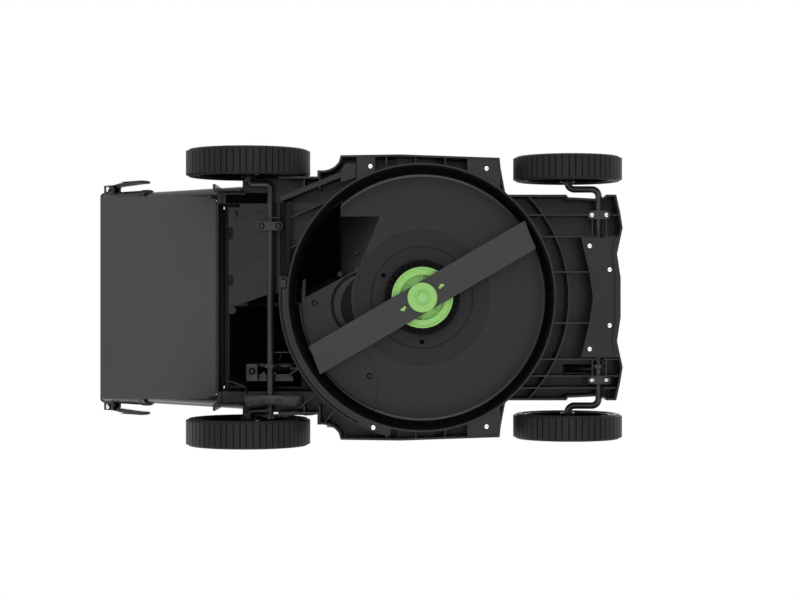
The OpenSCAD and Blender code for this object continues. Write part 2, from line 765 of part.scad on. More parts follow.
module battery_pack() {
    x0 = bay_x + bay_wall + pack_play;
    x1 = bay_x + bay_l - bay_wall - pack_play;
    y = bay_w / 2 - bay_wall - pack_play;
    z0 = cover_top - bay_depth + bay_wall;
    color([0.17, 0.18, 0.18]) from_blade_axis() difference() {
        union() {
            block([x0, -y, z0 + gap], [x1, y, pack_top - 12]);
            block([x0 + 6, -y + 6, pack_top - 13], [x1 - 6, y - 6, pack_top]);
        }
        block([bay_x + 37, -24, z0 - 1], [bay_x + 55, 24, z0 + 14]);
        block([x1 - 22, -16, pack_top - 14], [x1 + 2, 16, pack_top + 2]);
        block([x0 + 14, -24, pack_top - 9], [x0 + 34, 24, pack_top + 2]);
    }
}

module battery_latch() {
    x1 = bay_x + bay_l - bay_wall - pack_play;
    color([0.42, 0.60, 0.33]) from_blade_axis()
        block([x1 - 17, -16 + gap, pack_top - 14 + gap], [x1 - 3, 16 - gap, pack_top + 1]);
}

module battery_lid() {
    x0 = bay_x - 8;
    x1 = bay_x + bay_l + 8;
    y = bay_w / 2 + 8;
    color([0.18, 0.19, 0.19]) from_blade_axis() {
        difference() {
            union() {
                block([x0 + 6, -y, cover_top + gap], [x1 - 6, y, cover_top + lid_t]);
                block([x0, -y + 6, cover_top + gap], [x1, y - 6, cover_top + lid_t]);
                for (sx = [-1, 1], sy = [-1, 1])
                    rod_z(sx > 0 ? x1 - 6 : x0 + 6, sy * (y - 6), cover_top + gap, cover_top + lid_t, 12);
            }
            rod_z(x0 + 4, 0, cover_top - 5, cover_top + 20, 16);
        }
        both_sides() {
            rod_y(x1 + 4, cover_top + lid_t / 2 + 1, 28, 52, lid_t + 1);
            block([x1 - 1, 28, cover_top + 1], [x1 + 4, 52, cover_top + lid_t]);
        }
    }
}

module strap(x, y, half, z) {
    block([x - half, y - 7, z], [x + half, y + 7, z + strap_t]);
    for (e = [-1, 1]) rod_z(x + e * half, y, z, z + strap_t, 14);
}

module front_axle_straps() {
    color([0.24, 0.25, 0.24]) from_blade_axis() difference() {
        both_sides() strap(front_bar_x, strap_y, strap_half, strap_z);
        screw_bores(strap_screws, 40, 120);
    }
}

module rear_axle_strap() {
    color([0.24, 0.25, 0.24]) from_blade_axis() difference() {
        strap(rear_bar_x, rear_strap_y, rear_strap_half, rear_strap_z);
        screw_bores(rear_strap_screws, 40, 120);
    }
}

module axle_bracket() {
    x0 = rear_bar_x - 41;
    x1 = rear_bar_x + 51;
    z0 = rear_axle_z - axle_d / 2 - 4;
    color([0.30, 0.30, 0.29]) from_blade_axis() difference() {
        union() {
            block([x0, 161, z0], [x1, rear_y - deck_wall - gap + 3, z0 + 3]);
            block([x0, rear_y - 3, z0], [x1, rear_y, rear_axle_z + 12]);
            for (x = [rear_bar_x - 14, rear_bar_x + 14]) rod_z(x, 168, z0 - 4, z0 + 1, 9);
        }
        rod_y(rear_bar_x, rear_axle_z, 150, 200, axle_d + 2 * running);
        for (x = [x0 + 6, x1 - 6]) rod_z(x, 172, 60, 120, 5);
    }
}

function lean_point(r, a) = [rear_bar_x + r * sin(a), rear_axle_z + r * cos(a)];

quadrant_posts = [lean_point(66, 80), lean_point(66, 112)];

module height_quadrant() {
    arc_out = [for (a = [-8 : 4 : 120]) lean_point(78, a)];
    arc_in = [for (a = [120 : -4 : -8]) lean_point(quadrant_in, a)];
    notches = [for (i = [-2 : 2]) lean_point(78, lever_lean + 16 * i)];
    color([0.62, 0.63, 0.64]) from_blade_axis() difference() {
        union() {
            side_plate(concat(arc_out, arc_in), quadrant_y, quadrant_y + quadrant_t);
            difference() {
                for (p = quadrant_posts) rod_y(p[0], p[1], rear_y, quadrant_y + 0.5, 10);
                flat_plate(deck_outline, skirt_z, deck_top);
            }
        }
        for (p = notches) rod_y(p[0], p[1], quadrant_y - 1, quadrant_y + quadrant_t + 1, 7);
    }
}

module screws(list, z) {
    for (p = list) {
        rod_z(p[0], p[1], z - 2.4, z, screw_head_d);
        rod_z(p[0], p[1], z - 1, z + 14, screw_d);
    }
}

module deck_screws() {
    color([0.86, 0.87, 0.87]) from_blade_axis() {
        screws(belly_screws, belly_z);
        screws(strap_screws, strap_z);
        screws(rear_strap_screws, rear_strap_z);
        screws(corner_screws, tab_z);
        screws(band_screw, band_z);
        screws(baffle_screws, ceiling_z - baffle_t);
        screws(motor_screws, ceiling_z - base_t);
    }
}

module handle_brackets() {
    y1 = tube_y - tube_d / 2 - gap;
    color([0.16, 0.17, 0.17]) from_blade_axis() both_sides() difference() {
        union() {
            side_plate([
                [pivot_x - 24, deck_top], [pivot_x + 30, deck_top], [pivot_x + 14, pivot_z + 8],
                [pivot_x + 6, pivot_z + 15], [pivot_x - 6, pivot_z + 15], [pivot_x - 14, pivot_z + 8]
            ], housing_y, y1);
            block([pivot_x - 24, housing_y, deck_top], [pivot_x + 30, rear_y, deck_top + 4]);
        }
        rod_y(pivot_x, pivot_z, 100, 250, 8 + 2 * running);
    }
}

hinge_x = rear_x + 12;
hinge_z = outlet_top + 7;

module door_hinge_rod() {
    color([0.7, 0.7, 0.7]) from_blade_axis() {
        rod_y(hinge_x, hinge_z, -148, 148, 6);
        for (y = [-150, 142]) difference() {
            block([hinge_x - 7, y, outlet_top], [hinge_x + 7, y + 8, hinge_z + 7]);
            rod_y(hinge_x, hinge_z, y - 1, y + 9, 6);
        }
    }
}

// A quarter bend of the axle bar round a centre, from one angle on through 90 degrees
module axle_bend(x, y, z, from, r) {
    translate([x, y, z]) rotate([0, 0, from])
        rotate_extrude(angle = 90) translate([r, 0]) circle(d = axle_d);
}

module bent_axle(bar_x, z, crank, arm_y, end_y, bend) {
    rod_y(bar_x, z, bend - arm_y, arm_y - bend, axle_d);
    both_sides() {
        axle_bend(bar_x - bend, arm_y - bend, z, 0, bend);
        rod_x(bar_x - crank + bend, bar_x - bend, arm_y, z, axle_d);
        axle_bend(bar_x - crank + bend, arm_y + bend, z, 180, bend);
        rod_y(bar_x - crank, z, arm_y + bend, end_y, stub_d - 2 * running);
    }
}

module link_arm(bar_x, z, up) {
    block([bar_x - 8, link_y - 3, z], [bar_x + 8, link_y + 3, z + up]);
    rod_y(bar_x, z, link_y - 3, link_y + 3, 22);
    rod_y(bar_x, z + up, link_y - 3, link_y + 3, 16);
    rod_y(bar_x, z + up, link_y, link_y + 9.5, link_pin_d);
}

module front_axle() {
    color([0.29, 0.29, 0.29]) from_blade_axis() {
        bent_axle(front_bar_x, front_axle_z, front_crank, front_arm_y, front_in_y + front_wheel_w - 8, 11.5);
        link_arm(front_bar_x, front_axle_z, front_link_h);
    }
}

module rear_axle() {
    color([0.29, 0.29, 0.29]) from_blade_axis() {
        bent_axle(rear_bar_x, rear_axle_z, rear_crank, rear_arm_y, rear_in_y + rear_wheel_w - 8, 8);
        link_arm(rear_bar_x, rear_axle_z, rear_link_h);
        rod_y(rear_bar_x, rear_axle_z, rear_arm_y - 9, lever_y + lever_t, axle_d);
    }
}

module height_lever() {
    color([0.40, 0.41, 0.42]) from_blade_axis() translate([rear_bar_x, lever_y, rear_axle_z])
        rotate([0, lever_lean, 0]) difference() {
            union() {
                block([-8, 0, 0], [8, lever_t, lever_l + 10]);
                rod_y(0, 0, 0, lever_t, 30);
            }
            rod_y(0, 0, -1, lever_t + 1, axle_d + 2 * running);
        }
}

module height_knob() {
    color([0.42, 0.60, 0.33]) from_blade_axis() translate([rear_bar_x, lever_y, rear_axle_z])
        rotate([0, lever_lean, 0]) {
            rod_y(0, lever_l, lever_t, lever_t + 14, 14);
            rod_y(0, lever_l, lever_t + 8, lever_t + 28, 28);
        }
}

module link_rod() {
    za = rear_axle_z + rear_link_h;
    zb = front_axle_z + front_link_h;
    zm = deck_top + link_rise;
    y0 = link_y + 3 + gap;
    y1 = y0 + 5;
    color([0.5, 0.5, 0.52]) from_blade_axis() difference() {
        union() {
            side_plate([
                [rear_bar_x + 3, za - 4], [link_bend_rear + 2, zm - 4], [link_bend_front, zm - 4],
                [front_bar_x - 3, zb - 4], [front_bar_x, zb + 4], [link_bend_front + 3, zm + 4],
                [link_bend_rear - 2, zm + 4], [rear_bar_x - 3, za + 4]
            ], y0, y1);
            rod_y(rear_bar_x, za, y0, y1, 15);
            rod_y(front_bar_x, zb, y0, y1, 17);
        }
        rod_y(rear_bar_x, za, y0 - 1, y1 + 1, link_pin_d + 2 * running);
        rod_y(front_bar_x, zb, y0 - 1, y1 + 1, link_pin_d + 3);
    }
}

// Outline of a lugged tyre seen from the side, with flat lug tops
function lugged(r, n) = [
    for (i = [0 : n - 1], k = [0 : 3])
        let (
            mid = 360 * i / n,
            top = (i % 3 == 0 ? 0.36 : 0.42) * 360 / n,
            foot = 0.46 * 360 / n,
            a = [mid - foot, mid - top, mid + top, mid + foot][k],
            rr = [r - lug_h, r / cos(top), r / cos(top), r - lug_h][k]
        )
        polar(rr, a)
];

// Turns a wheel piece built along +Z so that its inner face is at y_in on the given side
module at_wheel(x, z, y_in, side) {
    from_blade_axis() translate([x, side * y_in, z]) rotate([side > 0 ? -90 : 90, 0, 0]) children();
}

module tyre(d, w, n) {
    bore = d / 2 - lug_h - tyre_t;
    color([0.19, 0.20, 0.20]) difference() {
        union() {
            translate([0, 0, 3]) linear_extrude(w - 6) polygon(lugged(d / 2, n));
            cylinder(r1 = d / 2 - lug_h - 3, r2 = d / 2 - lug_h - 0.5, h = 3.01);
            translate([0, 0, w - 3.01]) cylinder(r1 = d / 2 - lug_h - 0.5, r2 = d / 2 - lug_h - 3, h = 3.01);
        }
        translate([0, 0, -1]) cylinder(r = bore, h = w + 2, $fn = 96);
    }
}

module rim(d, w) {
    bore = d / 2 - lug_h - tyre_t;
    color([0.28, 0.29, 0.29]) difference() {
        union() {
            ring(bore, bore - 3.5, 2, w - 2);
            ring(bore, bore - 6, 2, 5);
            ring(bore, bore - 6, w - 5, w - 2);
            cylinder(r = stub_d / 2 + 6, h = w - 7);
            for (i = [0 : spokes - 1]) rotate([0, 0, 360 * i / spokes])
                block([stub_d / 2 + 4, -1.8, 8], [bore - 2, 1.8, w - 12]);
            ring(bore - 1, stub_d / 2 + 4, w - 14, w - 11);
        }
        translate([0, 0, -1]) cylinder(d = stub_d, h = w + 2);
    }
}

module cap(w) {
    color([0.42, 0.60, 0.33]) difference() {
        union() {
            translate([0, 0, w - 7]) cylinder(r1 = 31, r2 = 27, h = 6);
            ring(31, 28, w - 10.9, w - 6.9);
        }
        translate([0, 0, w - 9]) cylinder(d = stub_d + 1, h = 4);
    }
}

module rear_tyre(side) {
    at_wheel(rear_wheel_x, rear_axle_z, rear_in_y, side) tyre(rear_wheel_d, rear_wheel_w, rear_lugs);
}

module rear_rim(side) {
    at_wheel(rear_wheel_x, rear_axle_z, rear_in_y, side) rim(rear_wheel_d, rear_wheel_w);
}

module rear_cap(side) {
    at_wheel(rear_wheel_x, rear_axle_z, rear_in_y, side) cap(rear_wheel_w);
}

module front_tyre(side) {
    at_wheel(front_wheel_x, front_axle_z, front_in_y, side) tyre(front_wheel_d, front_wheel_w, front_lugs);
}

module front_rim(side) {
    at_wheel(front_wheel_x, front_axle_z, front_in_y, side) rim(front_wheel_d, front_wheel_w);
}

module front_cap(side) {
    at_wheel(front_wheel_x, front_axle_z, front_in_y, side) cap(front_wheel_w);
}

tab_r = 35.5;

module blade() {
    half = blade_d / 2;
    skew = blade_w * tan(10);
    wing_l = 62;
    w = blade_w / 2;
    color([0.27, 0.28, 0.28]) from_blade_axis() rotate([0, 0, blade_turn]) difference() {
        union() {
            flat_plate([
                [half + skew / 2, -w], [half - skew / 2, w], [-half - skew / 2, w], [-half + skew / 2, -w]
            ], blade_z, blade_top);
            for (a = [0, 180]) rotate([0, 0, a]) translate([half - wing_l, w - 16, blade_z])
                rotate([32, 0, 0]) linear_extrude(blade_t * 0.8)
                    polygon([[0, 4], [12, 18], [wing_l - 1, 18], [wing_l - 1, 0], [0, 0]]);
        }
        for (a = [0, 180]) rotate([0, 0, a]) translate([half - 90, -w, blade_z + 0.2 * blade_t])
            rotate([20, 0, 0]) block([0, -5, 0], [100, 14, 9]);
        rod_z(0, 0, blade_z - 1, blade_top + 1, bolt_d + 2 * running);
        rotate([0, 0, -blade_turn]) carrier_tabs(-gap, blade_z - 1, blade_top + 1);
    }
}

// Two angled tabs of the carrier that pass through the blade
module carrier_tabs(margin, z0, z1) {
    for (a = [0, 180]) rotate([0, 0, a]) translate(concat(polar(tab_r, blade_turn), [0]))
        flat_plate(inset([
            [-2.6, -4.1], [4.5, -4.1], [4.5, 0], [1, 0.4], [-1.3, 4.2], [-4.8, 2.2], [-2.2, -1.6]
        ], margin), z0, z1);
}

module blade_carrier() {
    r = carrier_d / 2;
    color([0.60, 0.82, 0.46]) from_blade_axis() {
        difference() {
            rotate_extrude($fn = 96) polygon([
                [shaft_r + running, blade_top], [washer_d / 2 - 2, blade_top],
                [washer_d / 2 - 2, blade_top + 9], [0.72 * r, blade_top + 9], [0.74 * r, blade_top + 3],
                [r - 3, blade_top + 3], [r - 2.4, blade_top + gap], [r, blade_top + gap],
                [r, carrier_top], [shaft_r + running, carrier_top]
            ]);
            for (i = [0 : 3]) rotate([0, 0, 90 * i + 45])
                block([0.76 * r, -0.4, blade_top + 2], [r - 4, 0.4, blade_top + 3.6]);
        }
        for (i = [0 : 7]) rotate([0, 0, 45 * i])
            block([0.58 * r, -0.9, blade_top + 5], [0.75 * r, 0.9, blade_top + 9.5]);
        carrier_tabs(0, blade_z - 1.5, blade_top + 9.2);
    }
}

module blade_fan() {
    r1 = fan_d / 2;
    r0 = carrier_d / 2 + 0.8;
    color([0.08, 0.09, 0.08]) from_blade_axis() {
        ring(r1, shaft_r + 4, carrier_top, carrier_top + 3);
        ring(r0 + 1.5, r0, blade_top + 4, carrier_top + 1);
        for (i = [0 : 35]) rotate([0, 0, 10 * i])
            block([r0 + 1, -0.9, blade_top + 5], [r1, 0.9, carrier_top + 1]);
    }
}

module blade_washer() {
    color([0.60, 0.82, 0.46]) from_blade_axis() rotate_extrude($fn = 96) polygon([
        [bolt_d / 2 + running, blade_z], [washer_d / 2, blade_z], [washer_d / 2, blade_z - 4],
        [washer_d / 2 - 0.8, blade_z - 5.4], [washer_d / 2 - 2.6, blade_z - 6], [13.5, blade_z - 6],
        [11.5, blade_z - 5], [bolt_d / 2 + running, blade_z - 5]
    ]);
}

module blade_bolt() {
    color([0.45, 0.50, 0.42]) from_blade_axis() {
        translate([0, 0, blade_z - 11]) cylinder(d = bolt_d * 1.7, h = 6, $fn = 6);
        rod_z(0, 0, blade_z - 7, blade_top + 28, bolt_d);
    }
}

// The rear door lies on the sloping front of the box lid
module on_door_slope() {
    translate([hinge_x, 0, hinge_z]) rotate([0, 180 + lid_slope, 0]) mirror([0, 0, 1]) children();
}

module rear_door() {
    w = housing_y - 22;
    color([0.20, 0.21, 0.20]) from_blade_axis() on_door_slope() {
        block([8, -w, -3 - door_t / 2], [door_l, w, -3 + door_t / 2]);
        block([13, 6 - housing_y, -3 - door_t / 2], [door_l, housing_y - 6, -3 + door_t / 2]);
        difference() {
            for (y = [-w, -20, w - 40]) {
                rod_y(0, 0, y, y + 40, 12);
                block([0, y, -5], [12, y + 40, -1]);
            }
            rod_y(0, 0, -200, 200, 6 + 2 * running);
        }
        for (y = [-90, -45, 0, 45, 90]) block([12, y - 1, -2], [door_l - 8, y + 1, 3]);
        block([door_l - 3, -50, -3 - door_t / 2], [door_l, 50, 6]);
    }
}

box_front = rear_x - 4 - gap;
box_back = box_front - box_l;
lid_foot = 300;

// The lid's slope lies just under the door: its height at x, and where it meets the flat top
door_drop = (3 + door_t / 2 + gap) / cos(lid_slope);
function slope_z(x) = hinge_z + (hinge_x - x) * tan(lid_slope) - door_drop;
top_front = hinge_x - (box_top - hinge_z + door_drop) / tan(lid_slope);

tray_y = box_y + 5;
tray_wide_top = box_z + 58;

module box_tray() {
    f = box_front - 16;
    color([0.33, 0.34, 0.33]) from_blade_axis() difference() {
        union() {
            side_plate([[f, box_z], [f, 240], [f - 90, lid_foot], [box_back, lid_foot],
                [box_back + 20, box_z + 14], [box_back + 40, box_z + 4]], -box_y, box_y);
            side_plate([[f, box_z], [f, tray_wide_top], [box_back + 16, tray_wide_top],
                [box_back + 20, box_z + 14], [box_back + 40, box_z + 4]], -tray_y, tray_y);
            block([f - 1, 4 - tray_y, box_z], [box_front - 4, tray_y - 4, box_z + box_wall]);
        }
        side_plate([[f + 5, box_z + box_wall], [f + 5, 240], [f - 90, lid_foot + 5],
            [box_back + box_wall, lid_foot + 5], [box_back + 20 + box_wall, box_z + 14 + box_wall],
            [box_back + 40, box_z + 4 + box_wall]], -box_y + box_wall, box_y - box_wall);
    }
}

module box_lid() {
    f = box_front - 16;
    outer = [[f, slope_z(f)], [top_front, box_top], [box_back + 30, box_top],
        [box_back + 6, box_top - 30], [box_back, lid_foot], [f - 90, lid_foot], [f, 240]];
    inner = inset(outer, box_wall);
    color([0.24, 0.25, 0.25]) from_blade_axis() difference() {
        union() {
            side_plate(outer, -box_y, box_y);
            both_sides() block([top_front - 30, 49, box_top - 1], [top_front - 8, 61, box_top + 22]);
            block([top_front - 30, -61, box_top + 16], [top_front - 8, 61, box_top + 26]);
        }
        side_plate(concat(
            [for (i = [0 : 3]) inner[i]],
            [[box_back + box_wall, lid_foot - 10], [f - 90, lid_foot - 10], [f - box_wall, 230]]
        ), -box_y + box_wall, box_y - box_wall);
    }
}

module box_frame() {
    f = box_front;
    y = box_y - 3;
    color([0.20, 0.21, 0.20]) from_blade_axis() difference() {
        block([f - 16 + gap, -y, box_z + 3], [f, y, 246]);
        block([f - 20, -y + 12, box_z + 12], [f + 5, y - 12, 236]);
    }
}

module box_full_flap() {
    color([0.42, 0.60, 0.33]) from_blade_axis()
        block([box_back + 36, -30, box_top + gap], [box_back + 86, 30, box_top + 3 + gap]);
}

// Places a piece built along +X, up the handle; its -Z side faces up and forward
module on_handle() {
    from_blade_axis() translate([pivot_x, 0, pivot_z]) rotate([0, 180 + handle_slope, 0]) children();
}

bore_r = tube_d / 2 - tube_wall;
inner_low = lower_l - 226;
clamp_from = lower_l - 126;
cam_u = lower_l - 13;
cam_y = tube_y + tube_d / 2 + 10;

module lower_tubes() {
    color([0.22, 0.23, 0.24]) on_handle() both_sides() difference() {
        rod_x(-13, lower_l, tube_y, 0, tube_d);
        rod_x(8, lower_l + 5, tube_y, 0, 2 * bore_r);
        rod_y(0, 0, 100, 250, 8 + 2 * running);
    }
}

module clamp_housings() {
    r = tube_d / 2;
    color([0.13, 0.14, 0.14]) on_handle() both_sides() difference() {
        union() {
            rod_x(clamp_from, clamp_from + 22, tube_y, 0, 2 * r + 9);
            rod_x(clamp_from + 20, lower_l + 8, tube_y, 0, 2 * r + 7);
            block([cam_u - 14, tube_y, -9], [cam_u + 14, cam_y + 7, 9]);
        }
        rod_x(clamp_from - 5, lower_l, tube_y, 0, tube_d + 0.02);
        rod_x(lower_l - 1, lower_l + 20, tube_y, 0, 2 * bore_r + 0.6);
        block([cam_u - 20, tube_y + r + 2.6, -5], [cam_u + 20, cam_y + 20, 5]);
        rod_z(cam_u, cam_y, -20, 20, 6 + 2 * running);
    }
}

module handle_pins() {
    color([0.75, 0.75, 0.76]) {
        on_handle() both_sides() rod_z(cam_u, cam_y, -11, 11, 6);
        from_blade_axis() both_sides()
            rod_y(pivot_x, pivot_z, housing_y + 1, tube_y + tube_d / 2 + 1, 8);
    }
}

module cam_lever(side) {
    y = cam_y;
    t = 4.4;
    color([0.13, 0.14, 0.14]) on_handle() mirror([0, side > 0 ? 0 : 1, 0]) difference() {
        union() {
            rod_z(cam_u, y, -t, t, 13);
            flat_plate([
                [cam_u, y - 4], [cam_u, y + 6.5], [cam_u - 30, y + 10], [cam_u - cam_l, y + 11],
                [cam_u - cam_l, y + 6], [cam_u - 26, y + 3]
            ], -t, t);
            flat_plate([
                [cam_u - 24, y + 5.5], [cam_u - 34, y + 9.5],
                [cam_u - cam_l, y + 11], [cam_u - cam_l, y + 6.5]
            ], -10, 10);
        }
        rod_z(cam_u, y, -20, 20, 6 + 2 * running);
    }
}

module upper_handle() {
    end = handle_l - bend_r;
    color([0.22, 0.23, 0.24]) on_handle() {
        both_sides() difference() {
            union() {
                rod_x(inner_low, end, tube_y, 0, 2 * grip_r);
                translate([end, tube_y - bend_r, 0])
                    rotate_extrude(angle = 90) translate([bend_r, 0]) circle(r = grip_r);
            }
            rod_x(inner_low - 1, end - 60, tube_y, 0, 2 * grip_r - 3);
        }
        rod_y(handle_l, 0, -tube_y + bend_r, tube_y - bend_r, 2 * grip_r);
    }
}

module grip_sleeve() {
    color([0.10, 0.10, 0.10]) on_handle() difference() {
        rod_y(handle_l, 0, -tube_y + bend_r + 1, tube_y - bend_r - 1, 2 * (grip_r + grip_t));
        rod_y(handle_l, 0, -200, 200, 2 * grip_r);
    }
}

bail_u = handle_l - 116;
bail_rest = 30;
button_u = bail_u - 24;
bail_arm = 116 - grip_r - grip_t - bail_d / 2 - 1.5;
box_half = 38;

module control_box() {
    u0 = button_u - 22;
    u1 = bail_u + 26;
    y0 = tube_y - grip_r;
    color([0.15, 0.16, 0.16]) on_handle() difference() {
        union() {
            block([u0, y0 - 2 * box_half, -20], [u1, y0 + 2, 20]);
            rod_x(u0, u1, tube_y, 0, 2 * grip_r + 8);
            rod_x(bail_u - 14, bail_u + 14, -tube_y, 0, 2 * grip_r + 8);
            block([bail_u - 14, -tube_y, -10], [bail_u + 14, -tube_y + 20, 10]);
        }
        rod_x(u0 - 5, u1 + 5, tube_y, 0, 2 * grip_r + 0.02);
        rod_x(u0 - 5, u1 + 5, -tube_y, 0, 2 * grip_r + 0.02);
        rod_y(bail_u, 0, -tube_y + grip_r + 2, y0 - 2 * box_half + 14, bail_d + 2 * running);
        rod_z(button_u, y0 - box_half, -30, -6, 18.6);
    }
}

module bail() {
    y0 = -tube_y + grip_r + 3;
    y1 = tube_y - grip_r - 2 * box_half + 12;
    ya = -tube_y + 40;
    yb = tube_y - grip_r - 2 * box_half - 12;
    color([0.30, 0.31, 0.32]) on_handle() translate([bail_u, 0, 0]) rotate([0, bail_rest, 0]) {
        rod_y(0, 0, y0, ya + bail_d / 2, bail_d);
        rod_y(0, 0, yb - bail_d / 2, y1, bail_d);
        for (y = [ya, yb]) rod_x(-bail_d / 2, bail_arm + bail_d / 2, y, 0, bail_d);
        rod_y(bail_arm, 0, ya - bail_d / 2, yb + bail_d / 2, bail_d);
    }
}

module start_button() {
    color([0.42, 0.60, 0.33]) on_handle()
        rod_z(button_u, tube_y - grip_r - box_half, -26, -10, 18);
}

deck();
chute_floor();
rear_baffle();
belly_plate();
top_cover();
motor_base();
motor_stator();
motor_bearings();
motor_housing();
controller();
battery_bay();
battery_terminals();
front_axle_straps();
rear_axle_strap();
axle_bracket();
height_quadrant();
deck_screws();
handle_brackets();
door_hinge_rod();
front_axle();
rear_axle();
height_lever();
height_knob();
link_rod();
rear_tyre(1);  // rear_left_tyre
rear_rim(1);  // rear_left_rim
rear_cap(1);  // rear_left_cap
rear_tyre(-1);  // rear_right_tyre
rear_rim(-1);  // rear_right_rim
rear_cap(-1);  // rear_right_cap
front_tyre(1);  // front_left_tyre
front_rim(1);  // front_left_rim
front_cap(1);  // front_left_cap
front_tyre(-1);  // front_right_tyre
front_rim(-1);  // front_right_rim
front_cap(-1);  // front_right_cap
blade();
blade_carrier();
blade_fan();
blade_washer();
blade_bolt();
motor_rotor();
rear_door();
box_tray();
box_lid();
box_frame();
box_full_flap();
battery_pack();
battery_latch();
battery_lid();
lower_tubes();
clamp_housings();
handle_pins();
upper_handle();
grip_sleeve();
control_box();
bail();
start_button();
cam_lever(1);  // cam_lever_left
cam_lever(-1);  // cam_lever_right
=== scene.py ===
"""Looks of a cordless lawn mower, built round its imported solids."""

import json
import math

import bmesh
import bpy
from mathutils import Matrix, Vector


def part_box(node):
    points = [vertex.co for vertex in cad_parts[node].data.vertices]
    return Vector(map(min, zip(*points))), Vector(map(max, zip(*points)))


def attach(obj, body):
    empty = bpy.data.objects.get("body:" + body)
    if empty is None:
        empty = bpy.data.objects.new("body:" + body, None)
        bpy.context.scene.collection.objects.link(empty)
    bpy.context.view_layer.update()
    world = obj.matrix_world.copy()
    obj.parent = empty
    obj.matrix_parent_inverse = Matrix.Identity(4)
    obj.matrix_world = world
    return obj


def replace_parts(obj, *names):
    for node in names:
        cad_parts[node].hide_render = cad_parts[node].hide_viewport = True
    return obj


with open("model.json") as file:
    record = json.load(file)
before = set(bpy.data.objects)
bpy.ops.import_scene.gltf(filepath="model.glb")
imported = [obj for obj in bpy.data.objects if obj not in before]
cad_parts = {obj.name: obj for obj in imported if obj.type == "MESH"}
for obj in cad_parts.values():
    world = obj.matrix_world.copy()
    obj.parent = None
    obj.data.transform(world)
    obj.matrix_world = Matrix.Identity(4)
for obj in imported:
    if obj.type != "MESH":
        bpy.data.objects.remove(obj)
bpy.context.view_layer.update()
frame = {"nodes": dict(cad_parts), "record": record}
cad = frame["nodes"]

# The blade axis, read off the motor base
blade_axis = sum(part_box("motor_base"), Vector()) / 2
blade_axis.z = 0

# The camera looks straight up from under the mower, as the photograph does
FOCAL_PIXELS = 1900.0
IMAGE_WIDE, IMAGE_HIGH = 800.0, 600.0
CAMERA_DEPTH = 3.040
CAMERA_BACK, CAMERA_SIDE = -0.0365, 0.0041


def at(x, y, z):
    """A place in millimetres: forward of the blade axis, to the left of it, over the ground."""
    return blade_axis + Vector((x, y, z)) / 1000


def seen(pixel_x, pixel_y, z):
    """The place in millimetres, z over the ground, that the camera sees at a pixel."""
    reach = (CAMERA_DEPTH + z / 1000) / FOCAL_PIXELS
    x = CAMERA_BACK + (pixel_x - IMAGE_WIDE / 2) * reach
    y = CAMERA_SIDE + (pixel_y - IMAGE_HIGH / 2) * reach
    return Vector((x * 1000, y * 1000, z))


# Shader groups


def wire(tree, kind, settings=None, **sockets):
    """Adds a node, sets what is set, and links or fills its inputs."""
    node = tree.nodes.new(kind)
    for key, value in (settings or {}).items():
        setattr(node, key, value)
    for key, value in sockets.items():
        by_number = key[0] == "i" and key[1:].isdigit()
        socket = node.inputs[int(key[1:])] if by_number else node.inputs[key.replace("_", " ")]
        if isinstance(value, bpy.types.NodeSocket):
            tree.links.new(value, socket)
        else:
            socket.default_value = value
    return node


def new_group(name, inputs, outputs):
    """A shader node group with named sockets, and the nodes at its two ends."""
    tree = bpy.data.node_groups.new(name, "ShaderNodeTree")
    for label, kind, default in inputs:
        socket = tree.interface.new_socket(label, in_out="INPUT", socket_type=kind)
        if default is not None:
            socket.default_value = default
    for label, kind in outputs:
        tree.interface.new_socket(label, in_out="OUTPUT", socket_type=kind)
    return tree, tree.nodes.new("NodeGroupInput"), tree.nodes.new("NodeGroupOutput")


def spread(tree, value, low, high):
    """Spreads low..high over 0..1, clamped."""
    node = wire(tree, "ShaderNodeMapRange", {"clamp": True}, Value=value)
    node.inputs["From Min"].default_value = low
    node.inputs["From Max"].default_value = high
    return node.outputs["Result"]


def maths(tree, operation, a, b):
    """The result of one operation on two values."""
    return wire(tree, "ShaderNodeMath", {"operation": operation}, i0=a, i1=b).outputs[0]


def grain_group():
    """Fine moulded or sprayed grain, with a slow drift of tone across the piece."""
    tree, start, end = new_group(
        "surface_grain",
        [("Vector", "NodeSocketVector", None), ("Grain Scale", "NodeSocketFloat", 900.0),
         ("Drift Scale", "NodeSocketFloat", 6.0)],
        [("Height", "NodeSocketFloat"), ("Drift", "NodeSocketFloat")],
    )
    place = start.outputs[0]
    fine = wire(tree, "ShaderNodeTexNoise", Vector=place, Scale=start.outputs[1], Detail=3.0, Roughness=0.6)
    slow = wire(tree, "ShaderNodeTexNoise", Vector=place, Scale=start.outputs[2], Detail=4.0, Roughness=0.55)
    tree.links.new(fine.outputs["Fac"], end.inputs[0])
    tree.links.new(spread(tree, slow.outputs["Fac"], 0.3, 0.7), end.inputs[1])
    return tree


